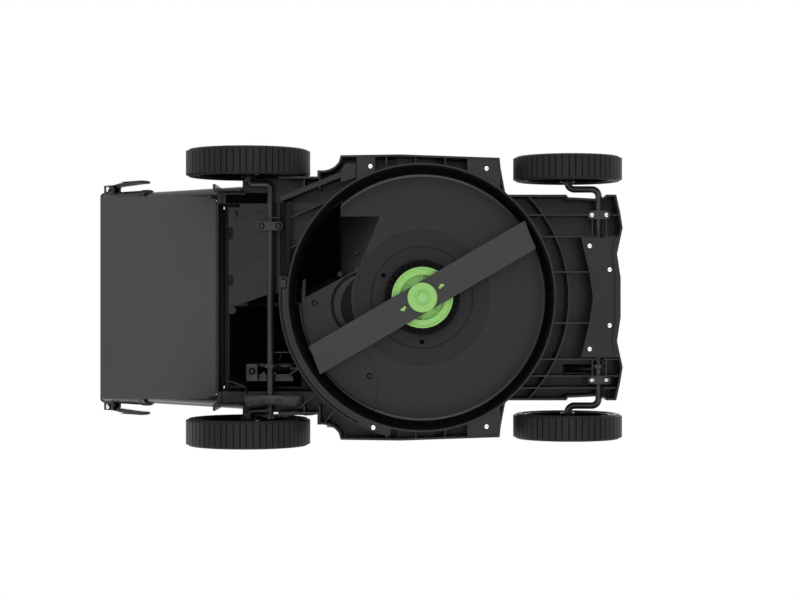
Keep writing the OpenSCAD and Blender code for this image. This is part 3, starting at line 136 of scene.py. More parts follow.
def edge_group():
    """Rounded edges, and a mask of the edges, where a lighter colour is painted on as highlight and as wear.
    """
    tree, start, end = new_group(
        "edge_wear_and_highlight",
        [("Vector", "NodeSocketVector", None), ("Radius", "NodeSocketFloat", 0.0012),
         ("Patchiness", "NodeSocketFloat", 0.5)],
        [("Normal", "NodeSocketVector"), ("Edge", "NodeSocketFloat")],
    )
    rounded = wire(tree, "ShaderNodeBevel", {"samples": 4}, Radius=start.outputs[1])
    flat = tree.nodes.new("ShaderNodeNewGeometry").outputs["Normal"]
    facing = wire(tree, "ShaderNodeVectorMath", {"operation": "DOT_PRODUCT"}, i0=rounded.outputs[0], i1=flat)
    bent = spread(tree, maths(tree, "SUBTRACT", 1.0, facing.outputs["Value"]), 0.02, 0.3)
    patches = wire(tree, "ShaderNodeTexNoise", Vector=start.outputs[0], Scale=38.0, Detail=5.0)
    kept = maths(tree, "MULTIPLY", spread(tree, patches.outputs["Fac"], 0.35, 0.65), start.outputs[2])
    tree.links.new(rounded.outputs[0], end.inputs[0])
    tree.links.new(maths(tree, "MULTIPLY", bent, maths(tree, "SUBTRACT", 1.0, kept)), end.inputs[1])
    return tree


def dust_group():
    """Faint handling marks and dust, in soft patches with fine specks."""
    tree, start, end = new_group(
        "dust_and_marks", [("Vector", "NodeSocketVector", None)], [("Dust", "NodeSocketFloat")]
    )
    place = start.outputs[0]
    cloud = wire(tree, "ShaderNodeTexNoise", Vector=place, Scale=14.0, Detail=7.0, Roughness=0.7)
    specks = wire(tree, "ShaderNodeTexNoise", Vector=place, Scale=420.0, Detail=2.0)
    patchy = spread(tree, cloud.outputs["Fac"], 0.45, 0.8)
    specked = spread(tree, specks.outputs["Fac"], 0.4, 0.7)
    tree.links.new(maths(tree, "MULTIPLY", patchy, specked), end.inputs[0])
    return tree


SURFACE_GRAIN = grain_group()
EDGE_WEAR_AND_HIGHLIGHT = edge_group()
DUST = dust_group()


def use_group(tree, group, **sockets):
    """Puts a group in a material, with its own values."""
    node = tree.nodes.new("ShaderNodeGroup")
    node.node_tree = group
    for key, value in sockets.items():
        socket = node.inputs[key.replace("_", " ")]
        if isinstance(value, bpy.types.NodeSocket):
            tree.links.new(value, socket)
        else:
            socket.default_value = value
    return node


def tint(tree, fac, a, b):
    """A colour between a and b."""
    node = tree.nodes.new("ShaderNodeMix")
    node.data_type = "RGBA"
    tree.links.new(fac, node.inputs[0])
    for slot_number, value in ((6, a), (7, b)):
        if isinstance(value, bpy.types.NodeSocket):
            tree.links.new(value, node.inputs[slot_number])
        else:
            node.inputs[slot_number].default_value = (*value, 1)
    return node.outputs[2]


FINISHES = {}
DUST_COLOUR = (0.30, 0.29, 0.26)
ROUGHNESS_DRIFT = 0.04
ROUGHNESS_LEAST = 0.03


def finish(name, colour, roughness, edge_highlight_and_wear_colour=None, grain=900.0, depth=0.00004, radius=0.0012,
           drift=0.12, dust=0.02, metallic=0.0, specular=0.5, coat=0.0, patchiness=0.5):
    """One finish: grain, tone drift, rounded edges painted lighter as highlight and wear, and a little dust.
    """
    material = bpy.data.materials.new(name)
    material.use_nodes = True
    tree = material.node_tree
    shader = tree.nodes["Principled BSDF"]
    place = tree.nodes.new("ShaderNodeTexCoord").outputs["Object"]
    grain_node = use_group(tree, SURFACE_GRAIN, Vector=place, Grain_Scale=grain)
    edge_node = use_group(tree, EDGE_WEAR_AND_HIGHLIGHT, Vector=place, Radius=radius, Patchiness=patchiness)
    dust_node = use_group(tree, DUST, Vector=place)
    dark = [c * (1 - drift) for c in colour]
    light = [min(1.0, c * (1 + drift)) for c in colour]
    body = tint(tree, grain_node.outputs["Drift"], dark, light)
    dusty = tint(tree, maths(tree, "MULTIPLY", dust_node.outputs["Dust"], dust), body, DUST_COLOUR)
    # Edges get a lighter colour: partly painted highlight, partly wear
    edge_highlight_and_wear_colour = edge_highlight_and_wear_colour or [min(1.0, c * 1.7 + 0.004) for c in colour]
    tree.links.new(tint(tree, edge_node.outputs["Edge"], dusty, edge_highlight_and_wear_colour), shader.inputs["Base Color"])
    rough = wire(tree, "ShaderNodeMapRange", Value=grain_node.outputs["Drift"])
    rough.inputs["To Min"].default_value = max(ROUGHNESS_LEAST, roughness - ROUGHNESS_DRIFT)
    rough.inputs["To Max"].default_value = min(1.0, roughness + ROUGHNESS_DRIFT)
    tree.links.new(rough.outputs[0], shader.inputs["Roughness"])
    bump = wire(tree, "ShaderNodeBump", Height=grain_node.outputs["Height"],
                Normal=edge_node.outputs["Normal"])
    bump.inputs["Strength"].default_value = 1.0
    bump.inputs["Distance"].default_value = depth
    tree.links.new(bump.outputs[0], shader.inputs["Normal"])
    shader.inputs["Metallic"].default_value = metallic
    shader.inputs["Specular IOR Level"].default_value = specular
    shader.inputs["Coat Weight"].default_value = coat
    FINISHES[name] = material


# Depths of grain in metres, and the edge radius of crisp parts
MOULDED, SMOOTH, POLISHED = 0.00002, 0.00001, 0.000006
CRISP = 0.0005

finish("deck_plastic", (0.0055, 0.0056, 0.0055), 0.30, specular=0.38, depth=SMOOTH, radius=CRISP)
finish("grey_plastic", (0.0085, 0.0087, 0.0085), 0.32, specular=0.36, depth=SMOOTH, radius=CRISP)
finish("black_plastic", (0.0045, 0.0046, 0.0048), 0.34, specular=0.32, depth=MOULDED)
finish("green_shell", (0.19, 0.47, 0.13), 0.32, depth=SMOOTH, coat=0.15, drift=0.04)
finish("green_hub", (0.34, 0.69, 0.185), 0.36, depth=SMOOTH, drift=0.04, radius=0.0008)
finish("black_paint", (0.0040, 0.0042, 0.0040), 0.30, specular=0.32, depth=SMOOTH)
finish("tyre_plastic", (0.0085, 0.0087, 0.0090), 0.50, specular=0.22, grain=500.0)
finish("rim_plastic", (0.0026, 0.0028, 0.0029), 0.36, specular=0.14, depth=SMOOTH)
finish("box_plastic", (0.056, 0.057, 0.0575), 0.42, specular=0.32, drift=0.04)
finish("lid_plastic", (0.014, 0.0145, 0.0145), 0.42, specular=0.35)
finish("axle_steel", (0.018, 0.018, 0.0185), 0.34, specular=0.45, depth=POLISHED, radius=CRISP)
finish("bright_steel", (0.78, 0.79, 0.80), 0.22, metallic=1.0, depth=POLISHED)
finish("blade_paint", (0.018, 0.0185, 0.0185), 0.36, specular=0.45, grain=350.0, depth=SMOOTH,
       edge_highlight_and_wear_colour=(0.04, 0.04, 0.04))
finish("dark_zinc", (0.014, 0.014, 0.0145), 0.36, specular=0.45, depth=POLISHED)
finish("fan_black", (0.0016, 0.0016, 0.0018), 0.42, specular=0.12)
# The blade bolt's slot is called dark, but the photograph shows the bolt green
finish("dark_bolt", (0.37, 0.70, 0.24), 0.32, specular=0.5, depth=POLISHED, drift=0.04)
finish("tube_paint", (0.009, 0.0095, 0.010), 0.28, specular=0.5, grain=1200.0, depth=SMOOTH)
finish("foam", (0.006, 0.006, 0.006), 0.9, specular=0.2, grain=700.0, depth=0.0003, radius=0.002)
finish("copper", (0.60, 0.24, 0.08), 0.30, metallic=1.0)
finish("brass", (0.75, 0.55, 0.20), 0.25, metallic=1.0)
finish("board", (0.02, 0.10, 0.04), 0.40)
# A lighter copy of the axle steel: painted light on the front axle, which lies in the nose's shade
finish("front_axle_painted_light", (0.054, 0.054, 0.055), 0.30, specular=0.5, depth=POLISHED, radius=CRISP)
finish("strap_steel", (0.016, 0.0162, 0.0162), 0.30, specular=0.5, depth=SMOOTH, radius=CRISP)
# Near-black finish for the sheets of painted shade in the deck's cavities
finish("painted_shade_black", (0.0005, 0.0005, 0.0005), 0.6, specular=0.03, dust=0.003,
       edge_highlight_and_wear_colour=(0.001, 0.001, 0.001))
finish("grey_screw", (0.008, 0.008, 0.008), 0.30, specular=0.42, depth=POLISHED)
finish("black_screw", (0.0012, 0.0012, 0.0012), 0.6, specular=0.05, depth=POLISHED)

# Every carried-over solid takes the finish of its slot, or one of its own; the front axle's own is a lighter
# copy of the axle steel, painted light
OWN_FINISH = {"front_axle": "front_axle_painted_light", "front_axle_straps": "strap_steel"}
for part in frame["record"]["subparts"]:
    mesh = cad[part["node"]].data
    mesh.materials.clear()
    mesh.materials.append(FINISHES[OWN_FINISH.get(part["node"], part["material_slot"])])

# How the pieces are made

# A millimetre frame on the blade axis, and one up the handle, whose -Z side faces up and forward
MM = Matrix.Translation(blade_axis) @ Matrix.Scale(0.001, 4)
PIVOT_X, PIVOT_Z = -275, 175
HANDLE_SLOPE = 45
HANDLE = MM @ Matrix.Translation((PIVOT_X, 0, PIVOT_Z)) @ Matrix.Rotation(
    math.radians(180 + HANDLE_SLOPE), 4, "Y")
TURNS = {
    "Z": Matrix.Identity(4), "-Z": Matrix.Rotation(math.pi, 4, "X"),
    "X": Matrix.Rotation(math.pi / 2, 4, "Y"),
    "Y": Matrix.Rotation(-math.pi / 2, 4, "X"), "-Y": Matrix.Rotation(math.pi / 2, 4, "X"),
}
SHARP_ANGLE = math.radians(30)
MERGE_WITHIN = 2e-6


def placed(x, y, z, axis="Z", frame_of=MM):
    """A millimetre frame at a place, its Z along an axis of the frame that it is given in."""
    return frame_of @ Matrix.Translation((x, y, z)) @ TURNS[axis]


def new_piece(name, bm, look, body="chassis"):
    """Turns a finished bmesh into a piece that rides on a body."""
    bmesh.ops.remove_doubles(bm, verts=bm.verts, dist=MERGE_WITHIN)
    bmesh.ops.recalc_face_normals(bm, faces=bm.faces)
    mesh = bpy.data.meshes.new(name)
    bm.to_mesh(mesh)
    bm.free()
    for polygon in mesh.polygons:
        polygon.use_smooth = True
    mesh.set_sharp_from_angle(angle=SHARP_ANGLE)
    mesh.materials.append(FINISHES[look])
    piece = bpy.data.objects.new(name, mesh)
    bpy.context.scene.collection.objects.link(piece)
    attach(piece, body)
    return piece


def edges_at(verts):
    """The edges at some vertices, each once and in their order."""
    return list(dict.fromkeys(edge for vert in verts for edge in vert.link_edges))


def round_edges(bm, edges, amount):
    """Rounds edges by an amount in millimetres."""
    bmesh.ops.bevel(bm, geom=edges, offset=amount / 1000, offset_type="OFFSET", affect="EDGES",
                    segments=2, profile=0.5, material=-1, clamp_overlap=True)


def block(bm, low, high, rounding=0.0, where=MM):
    """Adds a box between two corners, its edges rounded."""
    low, high = Vector(low), Vector(high)
    shape = where @ Matrix.Translation((low + high) / 2) @ Matrix.Diagonal((*(high - low), 1))
    made = bmesh.ops.create_cube(bm, size=1.0, matrix=shape)
    if rounding:
        round_edges(bm, edges_at(made["verts"]), rounding)


def plate(bm, outline, low, high, rounding=0.0, where=MM):
    """Adds a flat plate: an outline drawn in the frame's XY, from low to high along its Z."""
    base = bm.faces.new([bm.verts.new(where @ Vector((x, y, low))) for x, y in outline])
    lifted = bmesh.ops.extrude_face_region(bm, geom=[base])["geom"]
    raised = [item for item in lifted if isinstance(item, bmesh.types.BMVert)]
    bmesh.ops.translate(bm, verts=raised, vec=where.to_3x3() @ Vector((0, 0, high - low)))
    top = [edge for item in lifted if isinstance(item, bmesh.types.BMFace) for edge in item.edges]
    if rounding:
        round_edges(bm, list(dict.fromkeys([*top, *base.edges])), rounding)


def side_plate(bm, outline, low, high, rounding=0.0):
    """Adds a plate drawn in XZ, standing from low to high along Y."""
    upright = MM @ Matrix.Rotation(math.pi / 2, 4, "X")
    plate(bm, outline, -high, -low, rounding, upright)


def turned(bm, profile, where=MM, steps=32):
    """Adds a turned shape: a profile of (radius, height) spun about the frame's Z."""
    verts = [bm.verts.new(where @ Vector((radius, 0, height))) for radius, height in profile]
    edges = [bm.edges.new(pair) for pair in zip(verts, verts[1:])]
    bmesh.ops.spin(bm, geom=verts + edges, cent=where.translation,
                   axis=(where.to_3x3() @ Vector((0, 0, 1))).normalized(), dvec=(0, 0, 0),
                   angle=math.tau, steps=steps, use_merge=True, use_duplicate=False)


def rod(bm, points, radius, sides=10, closed=False, where=MM):
    """Adds a round rod or wire along points."""
    path = [where @ Vector(point) for point in points]
    count = len(path)
    frames = []
    turn = None
    for i, place in enumerate(path):
        before = path[i - 1] if i or closed else place
        after = path[(i + 1) % count] if i < count - 1 or closed else place
        ahead = (after - before).normalized()
        turn = ahead.to_track_quat("Z", "Y") if turn is None else (
            turn @ Vector((0, 0, 1))).rotation_difference(ahead) @ turn
        frames.append(Matrix.Translation(place) @ turn.to_matrix().to_4x4())
    made = bmesh.ops.create_circle(bm, cap_ends=not closed, segments=sides, radius=radius / 1000,
                                   matrix=frames[0])
    first = loop = edges_at(made["verts"])
    for last_frame, next_frame in zip(frames, frames[1:]):
        grown = bmesh.ops.extrude_edge_only(bm, edges=loop)["geom"]
        moved = [item for item in grown if isinstance(item, bmesh.types.BMVert)]
        bmesh.ops.transform(bm, matrix=next_frame @ last_frame.inverted(), verts=moved)
        loop = [item for item in grown if isinstance(item, bmesh.types.BMEdge)
                and all(vert in moved for vert in item.verts)]
    if closed:
        bmesh.ops.bridge_loops(bm, edges=first + loop)
    else:
        bmesh.ops.edgeloop_fill(bm, edges=loop)


def eased(points, radius, steps=4):
    """A path with its corners rounded."""
    places = [Vector(point) for point in points]
    path = [places[0]]
    for before, corner, after in zip(places, places[1:], places[2:]):
        back, on = before - corner, after - corner
        reach = min(radius, back.length / 2, on.length / 2)
        start, end = corner + back.normalized() * reach, corner + on.normalized() * reach
        for step in range(steps + 1):
            t = step / steps
            path.append(start.lerp(corner, t).lerp(corner.lerp(end, t), t))
    return path + [places[-1]]


def squared_ellipse(middle, half_x, half_y, power, steps):
    """Points round a squared ellipse that is level with the ground."""
    places = []
    for step in range(steps):
        angle = math.tau * step / steps
        c, s = math.cos(angle), math.sin(angle)
        places.append((middle + half_x * math.copysign(abs(c) ** (2 / power), c),
                       half_y * math.copysign(abs(s) ** (2 / power), s)))
    return places


def met(node, start, direction):
    """Where a ray in millimetres first meets a node, and the way its surface faces."""
    found, place, normal, _ = cad[node].ray_cast(at(*start), Vector(direction).normalized())
    return ((place - blade_axis) * 1000, normal) if found else None


SCREW_STEPS = 24
RECESS_RIM, RECESS_FLOOR, RECESS_DEPTH = 0.44, 0.40, 0.35
STAR_NARROW = 0.66


def screw(bm, where, head=4.0, rise=2.4, shank=2.0, length=10.0):
    """A pan-head screw with a star recess: its seat at the frame's origin, its head along Z."""
    turned(bm, [
        (0, -length), (shank * 0.5, -length), (shank, -length + 2), (shank, 0), (head - 0.2, 0),
        (head, 0.25), (head, rise * 0.45), (head * 0.90, rise * 0.80), (head * 0.68, rise),
        (head * RECESS_RIM, rise), (head * RECESS_FLOOR, rise * RECESS_DEPTH), (0, rise * 0.30),
    ], where, SCREW_STEPS)
    back = where.inverted()
    for vert in bm.verts:
        place = back @ vert.co
        out = math.hypot(place.x, place.y)
        on_rim = abs(out - head * RECESS_RIM) < 0.01 and abs(place.z - rise) < 0.01
        on_floor = abs(out - head * RECESS_FLOOR) < 0.01 and abs(place.z - rise * RECESS_DEPTH) < 0.01
        if (on_rim or on_floor) and round(math.atan2(place.y, place.x) / math.tau * SCREW_STEPS) % 4 == 0:
            vert.co = where @ Vector((place.x * STAR_NARROW, place.y * STAR_NARROW, place.z))


def hex_nut(bm, where, across=6.0, thick=4.0, stud=2.5):
    """A hexagon nut on a washer with the end of its stud, its seat at the frame's origin."""
    turned(bm, [(0, 0), (across * 1.3, 0), (across * 1.3, 0.8), (across * 0.6, 0.8)], where, 24)
    corner = across / math.cos(math.pi / 6)
    turns = [math.pi / 3 * side for side in range(6)]
    plate(bm, [(corner * math.cos(turn), corner * math.sin(turn)) for turn in turns], 0.8, thick, 0.35, where)
    turned(bm, [(stud, thick - 0.5), (stud, thick + 0.6), (stud * 0.75, thick + 1), (0, thick + 1)],
           where, 16)


# Under side: screws of the deck

screws_bright = bmesh.new()
for x, y, seat in ((272.5, -84, 56), (272.5, 84, 56), (305.3, -45.5, 56), (305.3, 45.5, 56),
                   (278.5, -135.5, 78.75), (302.5, -135.5, 78.75), (278.5, 135.5, 78.75),
                   (302.5, 135.5, 78.75), (104.5, -210, 54), (104.5, 210, 54), (-84.7, -213.6, 54),
                   (-79.9, 211.1, 46)):
    screw(screws_bright, placed(x, y, seat, "-Z"))
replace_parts(new_piece("deck_screws_bright", screws_bright, "bright_steel"), "deck_screws")

screws_grey = bmesh.new()
rings_black = bmesh.new()
for x, y, seat in ((-264.7, -118, 92), (-236.7, -118, 92), (-178.8, 9.2, 125), (-136.3, -39.1, 125),
                   (-86.9, 130.6, 125)):
    seat_frame = placed(x, y, seat, "-Z")
    screw(screws_grey, seat_frame, 3.9)
    turned(rings_black, [(3.6, -1), (5.2, -1), (5.2, 0.35), (3.6, 0.35), (3.6, -1)], seat_frame, 32)
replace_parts(new_piece("deck_screws_grey", screws_grey, "grey_screw"), "deck_screws")
new_piece("screw_seats", rings_black, "black_screw")

MOTOR_SCREW_REACH, MOTOR_SCREW_SEAT = 74, 124.6
screws_black = bmesh.new()
for angle in (90, 210, 330):
    turn = math.radians(angle)
    screw(screws_black, placed(MOTOR_SCREW_REACH * math.cos(turn), MOTOR_SCREW_REACH * math.sin(turn),
                               MOTOR_SCREW_SEAT, "-Z"))
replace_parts(new_piece("motor_screws", screws_black, "black_screw"), "deck_screws")

# Under side: the bay of the height adjuster

ROOF_FRONT_X, ROOF_FRONT_Z, ROOF_RISE, ROOF_TOP = -207.9, 216.8, 0.451, 258.8
ADJUSTER_REAR, ADJUSTER_FRONT = -291, -213
ADJUSTER_BOLT_X, ADJUSTER_BOLT_Y = -281.2, 121.8
WIRE_Y = 91
ADJUSTER_CLIP_PIXELS = (((261.8, 371.8), (265.2, 374.2)), ((271.9, 372.0), (276.2, 374.0)))
ADJUSTER_CLIP_Z = 112


def roof(x):
    """The height of the housing's sloping roof, seen from inside."""
    return min(ROOF_TOP, ROOF_FRONT_Z + ROOF_RISE * (ROOF_FRONT_X - x))


adjuster = bmesh.new()
for foot_z, low, high in ((132.5, 110.6, 112.6), (110, 136.6, 138.6)):
    side_plate(adjuster, [
        (ADJUSTER_REAR, foot_z), (ADJUSTER_FRONT, foot_z), (ADJUSTER_FRONT, roof(ADJUSTER_FRONT) + 1),
        (ADJUSTER_REAR, roof(ADJUSTER_REAR) + 1),
    ], low, high, 0.3)
for low, high in ((-272.5, -258.4), (-246.9, -215)):
    block(adjuster, (low, 111, 132.5), (high, 116, 135), 0.4)
for low, high in ((-270.8, -256.8), (-245.4, -213.7)):
    block(adjuster, (low, 127.2, 110), (high, 138, 112.4), 0.5)
block(adjuster, (-291.2, 109.8, 104), (-272.3, 138.4, 112), 0.8)
block(adjuster, (-291.2, 109.8, 111), (-272.8, 112.6, 160), 0.4)
new_piece("adjuster_frame", adjuster, "deck_plastic")

adjuster_ring = bmesh.new()
turned(adjuster_ring, [(3.2, 0), (5.4, 0), (5.8, 0.4), (5.8, 1.2), (3.2, 1.2), (3.2, 0)],
       placed(ADJUSTER_BOLT_X, ADJUSTER_BOLT_Y, 104.4, "-Z"), 32)
new_piece("adjuster_washer", adjuster_ring, "black_screw")
adjuster_bolt = bmesh.new()
screw(adjuster_bolt, placed(ADJUSTER_BOLT_X, ADJUSTER_BOLT_Y, 103.9, "-Z"), 3.1, 1.6, 1.5, 6)
new_piece("adjuster_bolt", adjuster_bolt, "dark_zinc")

springs = bmesh.new()
rod(springs, eased([(-249, WIRE_Y, roof(-249) - 1), (-249, WIRE_Y, 112), (-196, WIRE_Y, 112),
                    (-192, WIRE_Y, 126)], 4), 1.1)
rod(springs, eased([(-234.7, WIRE_Y, 113), (-234.7, 99, 112), (-238, 103, 112),
                    (-238.5, 104.6, 118)], 2), 0.6, 8)
new_piece("return_wire", springs, "dark_zinc")

adjuster_clips = bmesh.new()
for low_pixel, high_pixel in ADJUSTER_CLIP_PIXELS:
    low, high = seen(*low_pixel, ADJUSTER_CLIP_Z), seen(*high_pixel, ADJUSTER_CLIP_Z)
    block(adjuster_clips, low - Vector((0, 0, 1.2)), high + Vector((0, 0, 4)), 0.4)
new_piece("adjuster_clips", adjuster_clips, "dark_zinc")

# Under side: the axle bracket's face, the rear frame's ribs and the wire clip

BRACKET_Z = 86.9
FRAME_RIB_FOOT = 112
WIRE_CLIP_PIXELS = (265, 281)
WIRE_CLIP_ROW = 217.6
WIRE_CLIP_Z = 95.5
bracket_face = bmesh.new()
plate(bracket_face, [
    (-292.5, 163.5), (-269, 163.5), (-268, 161.8), (-231, 161.8), (-230, 163.5), (-202.8, 163.5),
    (-202.8, 181.5), (-227.6, 181.5), (-243, 177), (-258, 177), (-271.7, 181.5), (-292.5, 181.5),
], 86.8, 89.4, 0.6)
new_piece("bracket_face", bracket_face, "axle_steel")
bracket_bolts = bmesh.new()
for x, y in ((-264.5, 169.5), (-236.5, 169.5)):
    turned(bracket_bolts, [(0, 0), (5, 0), (5, 0.7), (4.4, 1.2), (2.2, 1.3), (2.0, 0.6), (0, 0.5)],
           placed(x, y, BRACKET_Z, "-Z"), 24)
for x, y in ((-208.9, 177), (-286, 178)):
    turned(bracket_bolts, [(0, 0), (3.2, 0), (3.2, 1.0), (2.6, 1.5), (0, 1.6)],
           placed(x, y, BRACKET_Z, "-Z"), 20)
new_piece("bracket_bolts", bracket_bolts, "dark_zinc")

frame_ribs = bmesh.new()
wall = [(-326, 135.7), (-293.6, 146.8), (-292, 159), (-286.5, 164.6)]
other = [(x + 1.2, y + 2.3) for x, y in wall]
for (a, b), (c, d) in zip(zip(wall, wall[1:]), zip(other, other[1:])):
    # The first rib goes up to the roof, the others stay low
    top = 255 if a == wall[0] else 128
    plate(frame_ribs, [a, b, d, c], FRAME_RIB_FOOT, top)
block(frame_ribs, (-322, 158.6, FRAME_RIB_FOOT), (-292, 161.2, 130), 0.3)
new_piece("rear_frame_ribs", frame_ribs, "deck_plastic")

clip = bmesh.new()
rear, front = (seen(x, WIRE_CLIP_ROW, WIRE_CLIP_Z) for x in WIRE_CLIP_PIXELS)
lift = Vector((0, 0, 116 - WIRE_CLIP_Z))
rod(clip, eased([rear + lift, rear, front, front + lift], 3), 1.1)
new_piece("wire_clip", clip, "dark_zinc")

# Under side: the catch on the band, a black crescent of painted shade with its lip, and the small parts under
# the ramp

CATCH_PIXELS = ((278, 277.5), (287.5, 289.5))
LUMP_PIXELS = ((356, 253), (363, 256.5), (369.5, 260))
BAND_Z = 46
RAMP_Z = 130
catch = bmesh.new()
low, high = (seen(x, y, BAND_Z) for x, y in CATCH_PIXELS)
block(catch, low, high + Vector((0, 0, 7)), 1.0)
block(catch, low + Vector((3, 4, -1.1)), high + Vector((-3, -4, 1)), 0.5)
new_piece("band_catch", catch, "deck_plastic")


def lens(inner, inner_r, outer, outer_r, steps=24):
    """The outline inside one circle and outside another."""
    between = Vector(outer) - Vector(inner)
    apart = between.length
    middle = math.atan2(between.y, between.x)
    half = math.acos((apart ** 2 + inner_r ** 2 - outer_r ** 2) / (2 * apart * inner_r))
    far = math.acos((apart ** 2 + outer_r ** 2 - inner_r ** 2) / (2 * apart * outer_r))
    outline = []
    for step in range(steps + 1):
        turn = middle + half + (math.tau - 2 * half) * step / steps
        outline.append((inner[0] + inner_r * math.cos(turn), inner[1] + inner_r * math.sin(turn)))
    for step in range(1, steps):
        turn = middle + math.pi + far - 2 * far * step / steps
        outline.append((outer[0] + outer_r * math.cos(turn), outer[1] + outer_r * math.sin(turn)))
    return outline


# A flat near-black crescent on the ceiling by the motor base is painted shade; the lip beside it is a raised
# rim
CRESCENT_MIDDLE = (-96.5, 12.5)
shade_crescent = bmesh.new()
plate(shade_crescent, lens(CRESCENT_MIDDLE, 54.5, (0, 0), 118), 126.4, 127.9)
new_piece("motor_shade_crescent", shade_crescent, "fan_black")
crescent_lip = bmesh.new()
plate(crescent_lip, lens(CRESCENT_MIDDLE, 50.5, (-78, 14), 57), 125.6, 126.6, 0.2)
new_piece("motor_crescent_lip", crescent_lip, "deck_plastic")

lumps = bmesh.new()
for pixel, radius in zip(LUMP_PIXELS, (2.6, 3.4, 2.6)):
    spot = seen(*pixel, RAMP_Z)
    turned(lumps, [(0, 6), (radius, 6), (radius, 0.8), (radius * 0.7, 0), (0, -0.3)],
           placed(spot.x, spot.y, 126), 20)
new_piece("ramp_lumps", lumps, "deck_plastic")

# Matt black sheets of painted shade under the housing's roof and in the tunnel, where no light comes back

SHADE_SHEET_GAP = 0.5


def shade_sheet(name, x_low, x_high, y_low, y_high, start_z, columns=24, rows=16):
    """A thin matt black sheet of painted shade that hangs just under what a ray going up meets."""
    bm = bmesh.new()
    made = bmesh.ops.create_grid(bm, x_segments=columns, y_segments=rows, size=0.5)
    lost = []
    for vert in made["verts"]:
        x = x_low + (vert.co.x + 0.5) * (x_high - x_low)
        y = y_low + (vert.co.y + 0.5) * (y_high - y_low)
        hit = met("deck", (x, y, start_z), (0, 0, 1))
        if hit:
            vert.co = at(x, y, hit[0].z - SHADE_SHEET_GAP)
        else:
            lost.append(vert)
    bmesh.ops.delete(bm, geom=lost, context="VERTS")
    bmesh.ops.solidify(bm, geom=bm.faces[:], thickness=0.0003)
    return new_piece(name, bm, "painted_shade_black")


shade_sheet("roof_painted_shade", -332, -206, 14.5, 152, 160)
shade_sheet("tunnel_painted_shade", -322, -140, -152, 9, 140)
shade_sheet("chute_side_painted_shade", -327, -258, -174.5, -157.2, 60, 8, 4)


def ring_plate(bm, inner, outer, low, high, steps=96):
    """Adds a flat ring between two circles (x, y, radius) that need not share a centre."""
    loops = []
    for x, y, radius in (inner, outer):
        made = bmesh.ops.create_circle(bm, segments=steps, radius=radius / 1000,
                                       matrix=Matrix.Translation(at(x, y, low)))
        loops += edges_at(made["verts"])
    faces = bmesh.ops.bridge_loops(bm, edges=loops)["faces"]
    lifted = bmesh.ops.extrude_face_region(bm, geom=faces)["geom"]
    raised = [item for item in lifted if isinstance(item, bmesh.types.BMVert)]
    bmesh.ops.translate(bm, verts=raised, vec=(0, 0, (high - low) / 1000))


# The chamber's wall is covered with painted shade where a ray from its middle meets it, and a ring of it
# closes the sheet below
WALL_HEIGHTS = (53.4, 64, 84, 104, 122.5)
WALL_NEAREST, WALL_FURTHEST = 205.5, 211.5
WALL_GAP = 0.35
LIP_BACK = 1.8
wall_shade_sheet = bmesh.new()
bmesh.ops.create_grid(wall_shade_sheet, x_segments=120, y_segments=len(WALL_HEIGHTS) - 1, size=0.5)
lost = []
for vert in wall_shade_sheet.verts:
    angle = math.tau * (vert.co.x + 0.5)
    z = WALL_HEIGHTS[round((vert.co.y + 0.5) * (len(WALL_HEIGHTS) - 1))]
    ways = (math.cos(angle), math.sin(angle), 0)
    hit = met("deck", (0, 0, z), ways)
    reach = math.hypot(hit[0].x, hit[0].y) if hit else 0
    if WALL_NEAREST < reach < WALL_FURTHEST:
        vert.co = at(ways[0] * (reach - WALL_GAP), ways[1] * (reach - WALL_GAP), z)
    else:
        lost.append(vert)
bmesh.ops.delete(wall_shade_sheet, geom=lost, context="VERTS")
ring_plate(wall_shade_sheet, (0, 0, 210.0), (-LIP_BACK, 0, 212.5), 52.2, 52.85)
new_piece("chamber_painted_shade", wall_shade_sheet, "painted_shade_black")

# Under side: the rubber strip on the tunnel's rib and the fine joint in the rear band

strip = bmesh.new()
block(strip, (-222.0, -156, 57.8), (-214.5, -22, 58.7), 0.3)
new_piece("tunnel_strip", strip, "fan_black")
JOINT_REACH = 227.4
joint = bmesh.new()
turns = [math.radians(angle) for angle in range(117, 190, 2)]
rod(joint, [(-LIP_BACK + JOINT_REACH * math.cos(turn), JOINT_REACH * math.sin(turn), BAND_Z)
            for turn in turns], 0.8, 8)
new_piece("band_joint", joint, "black_screw")

# Under side: the nose plate's rims, which reach the deck's edge and lap over the ribs behind

nose = bmesh.new()
plate(nose, [(258.6, -97.3), (270, -97.3), (283, -40.4), (288, 0), (283, 40.4), (270, 97.3), (258.6, 97.3),
             (272, 40.4), (277.8, 0), (272, -40.4)], 55.4, 56.1)
plate(nose, [(322.5, 97.3), (316.6, 71), (322.5, 32), (322.5, -32), (316.6, -71), (322.5, -97.3),
             (314, -97.3), (309, -71), (314, -32), (314, 32), (309, 71), (314, 97.3)], 51.5, 52.1)
new_piece("nose_plate_rims", nose, "deck_plastic")

# Top: seams, louvres, beads and screws of the green cover

COVER_MIDDLE = 60
BULKHEAD_X = -129
COVER_STEPS = 96
ABOVE_COVER = 300
DOWN = (0, 0, -1)


def opened(places):
    """A ring of places, turned so that it starts after its widest gap."""
    start = max(range(len(places)), key=lambda i: math.dist(places[i], places[i - 1]))
    return places[start:] + places[:start]


def cover_loop(height, lift=0.2):
    """Places round the cover's side at a height, found on its surface, in front of the bulkhead."""
    places = []
    for x, y in squared_ellipse(COVER_MIDDLE, 330, 240, 3.2, COVER_STEPS):
        inward = (COVER_MIDDLE + (x - COVER_MIDDLE) * 0.35 - x, -y, 0)
        hit = met("top_cover", (x, y, height), inward)
        if hit and hit[0].x > BULKHEAD_X:
            places.append(hit[0] + hit[1] * lift)
    return opened(places)


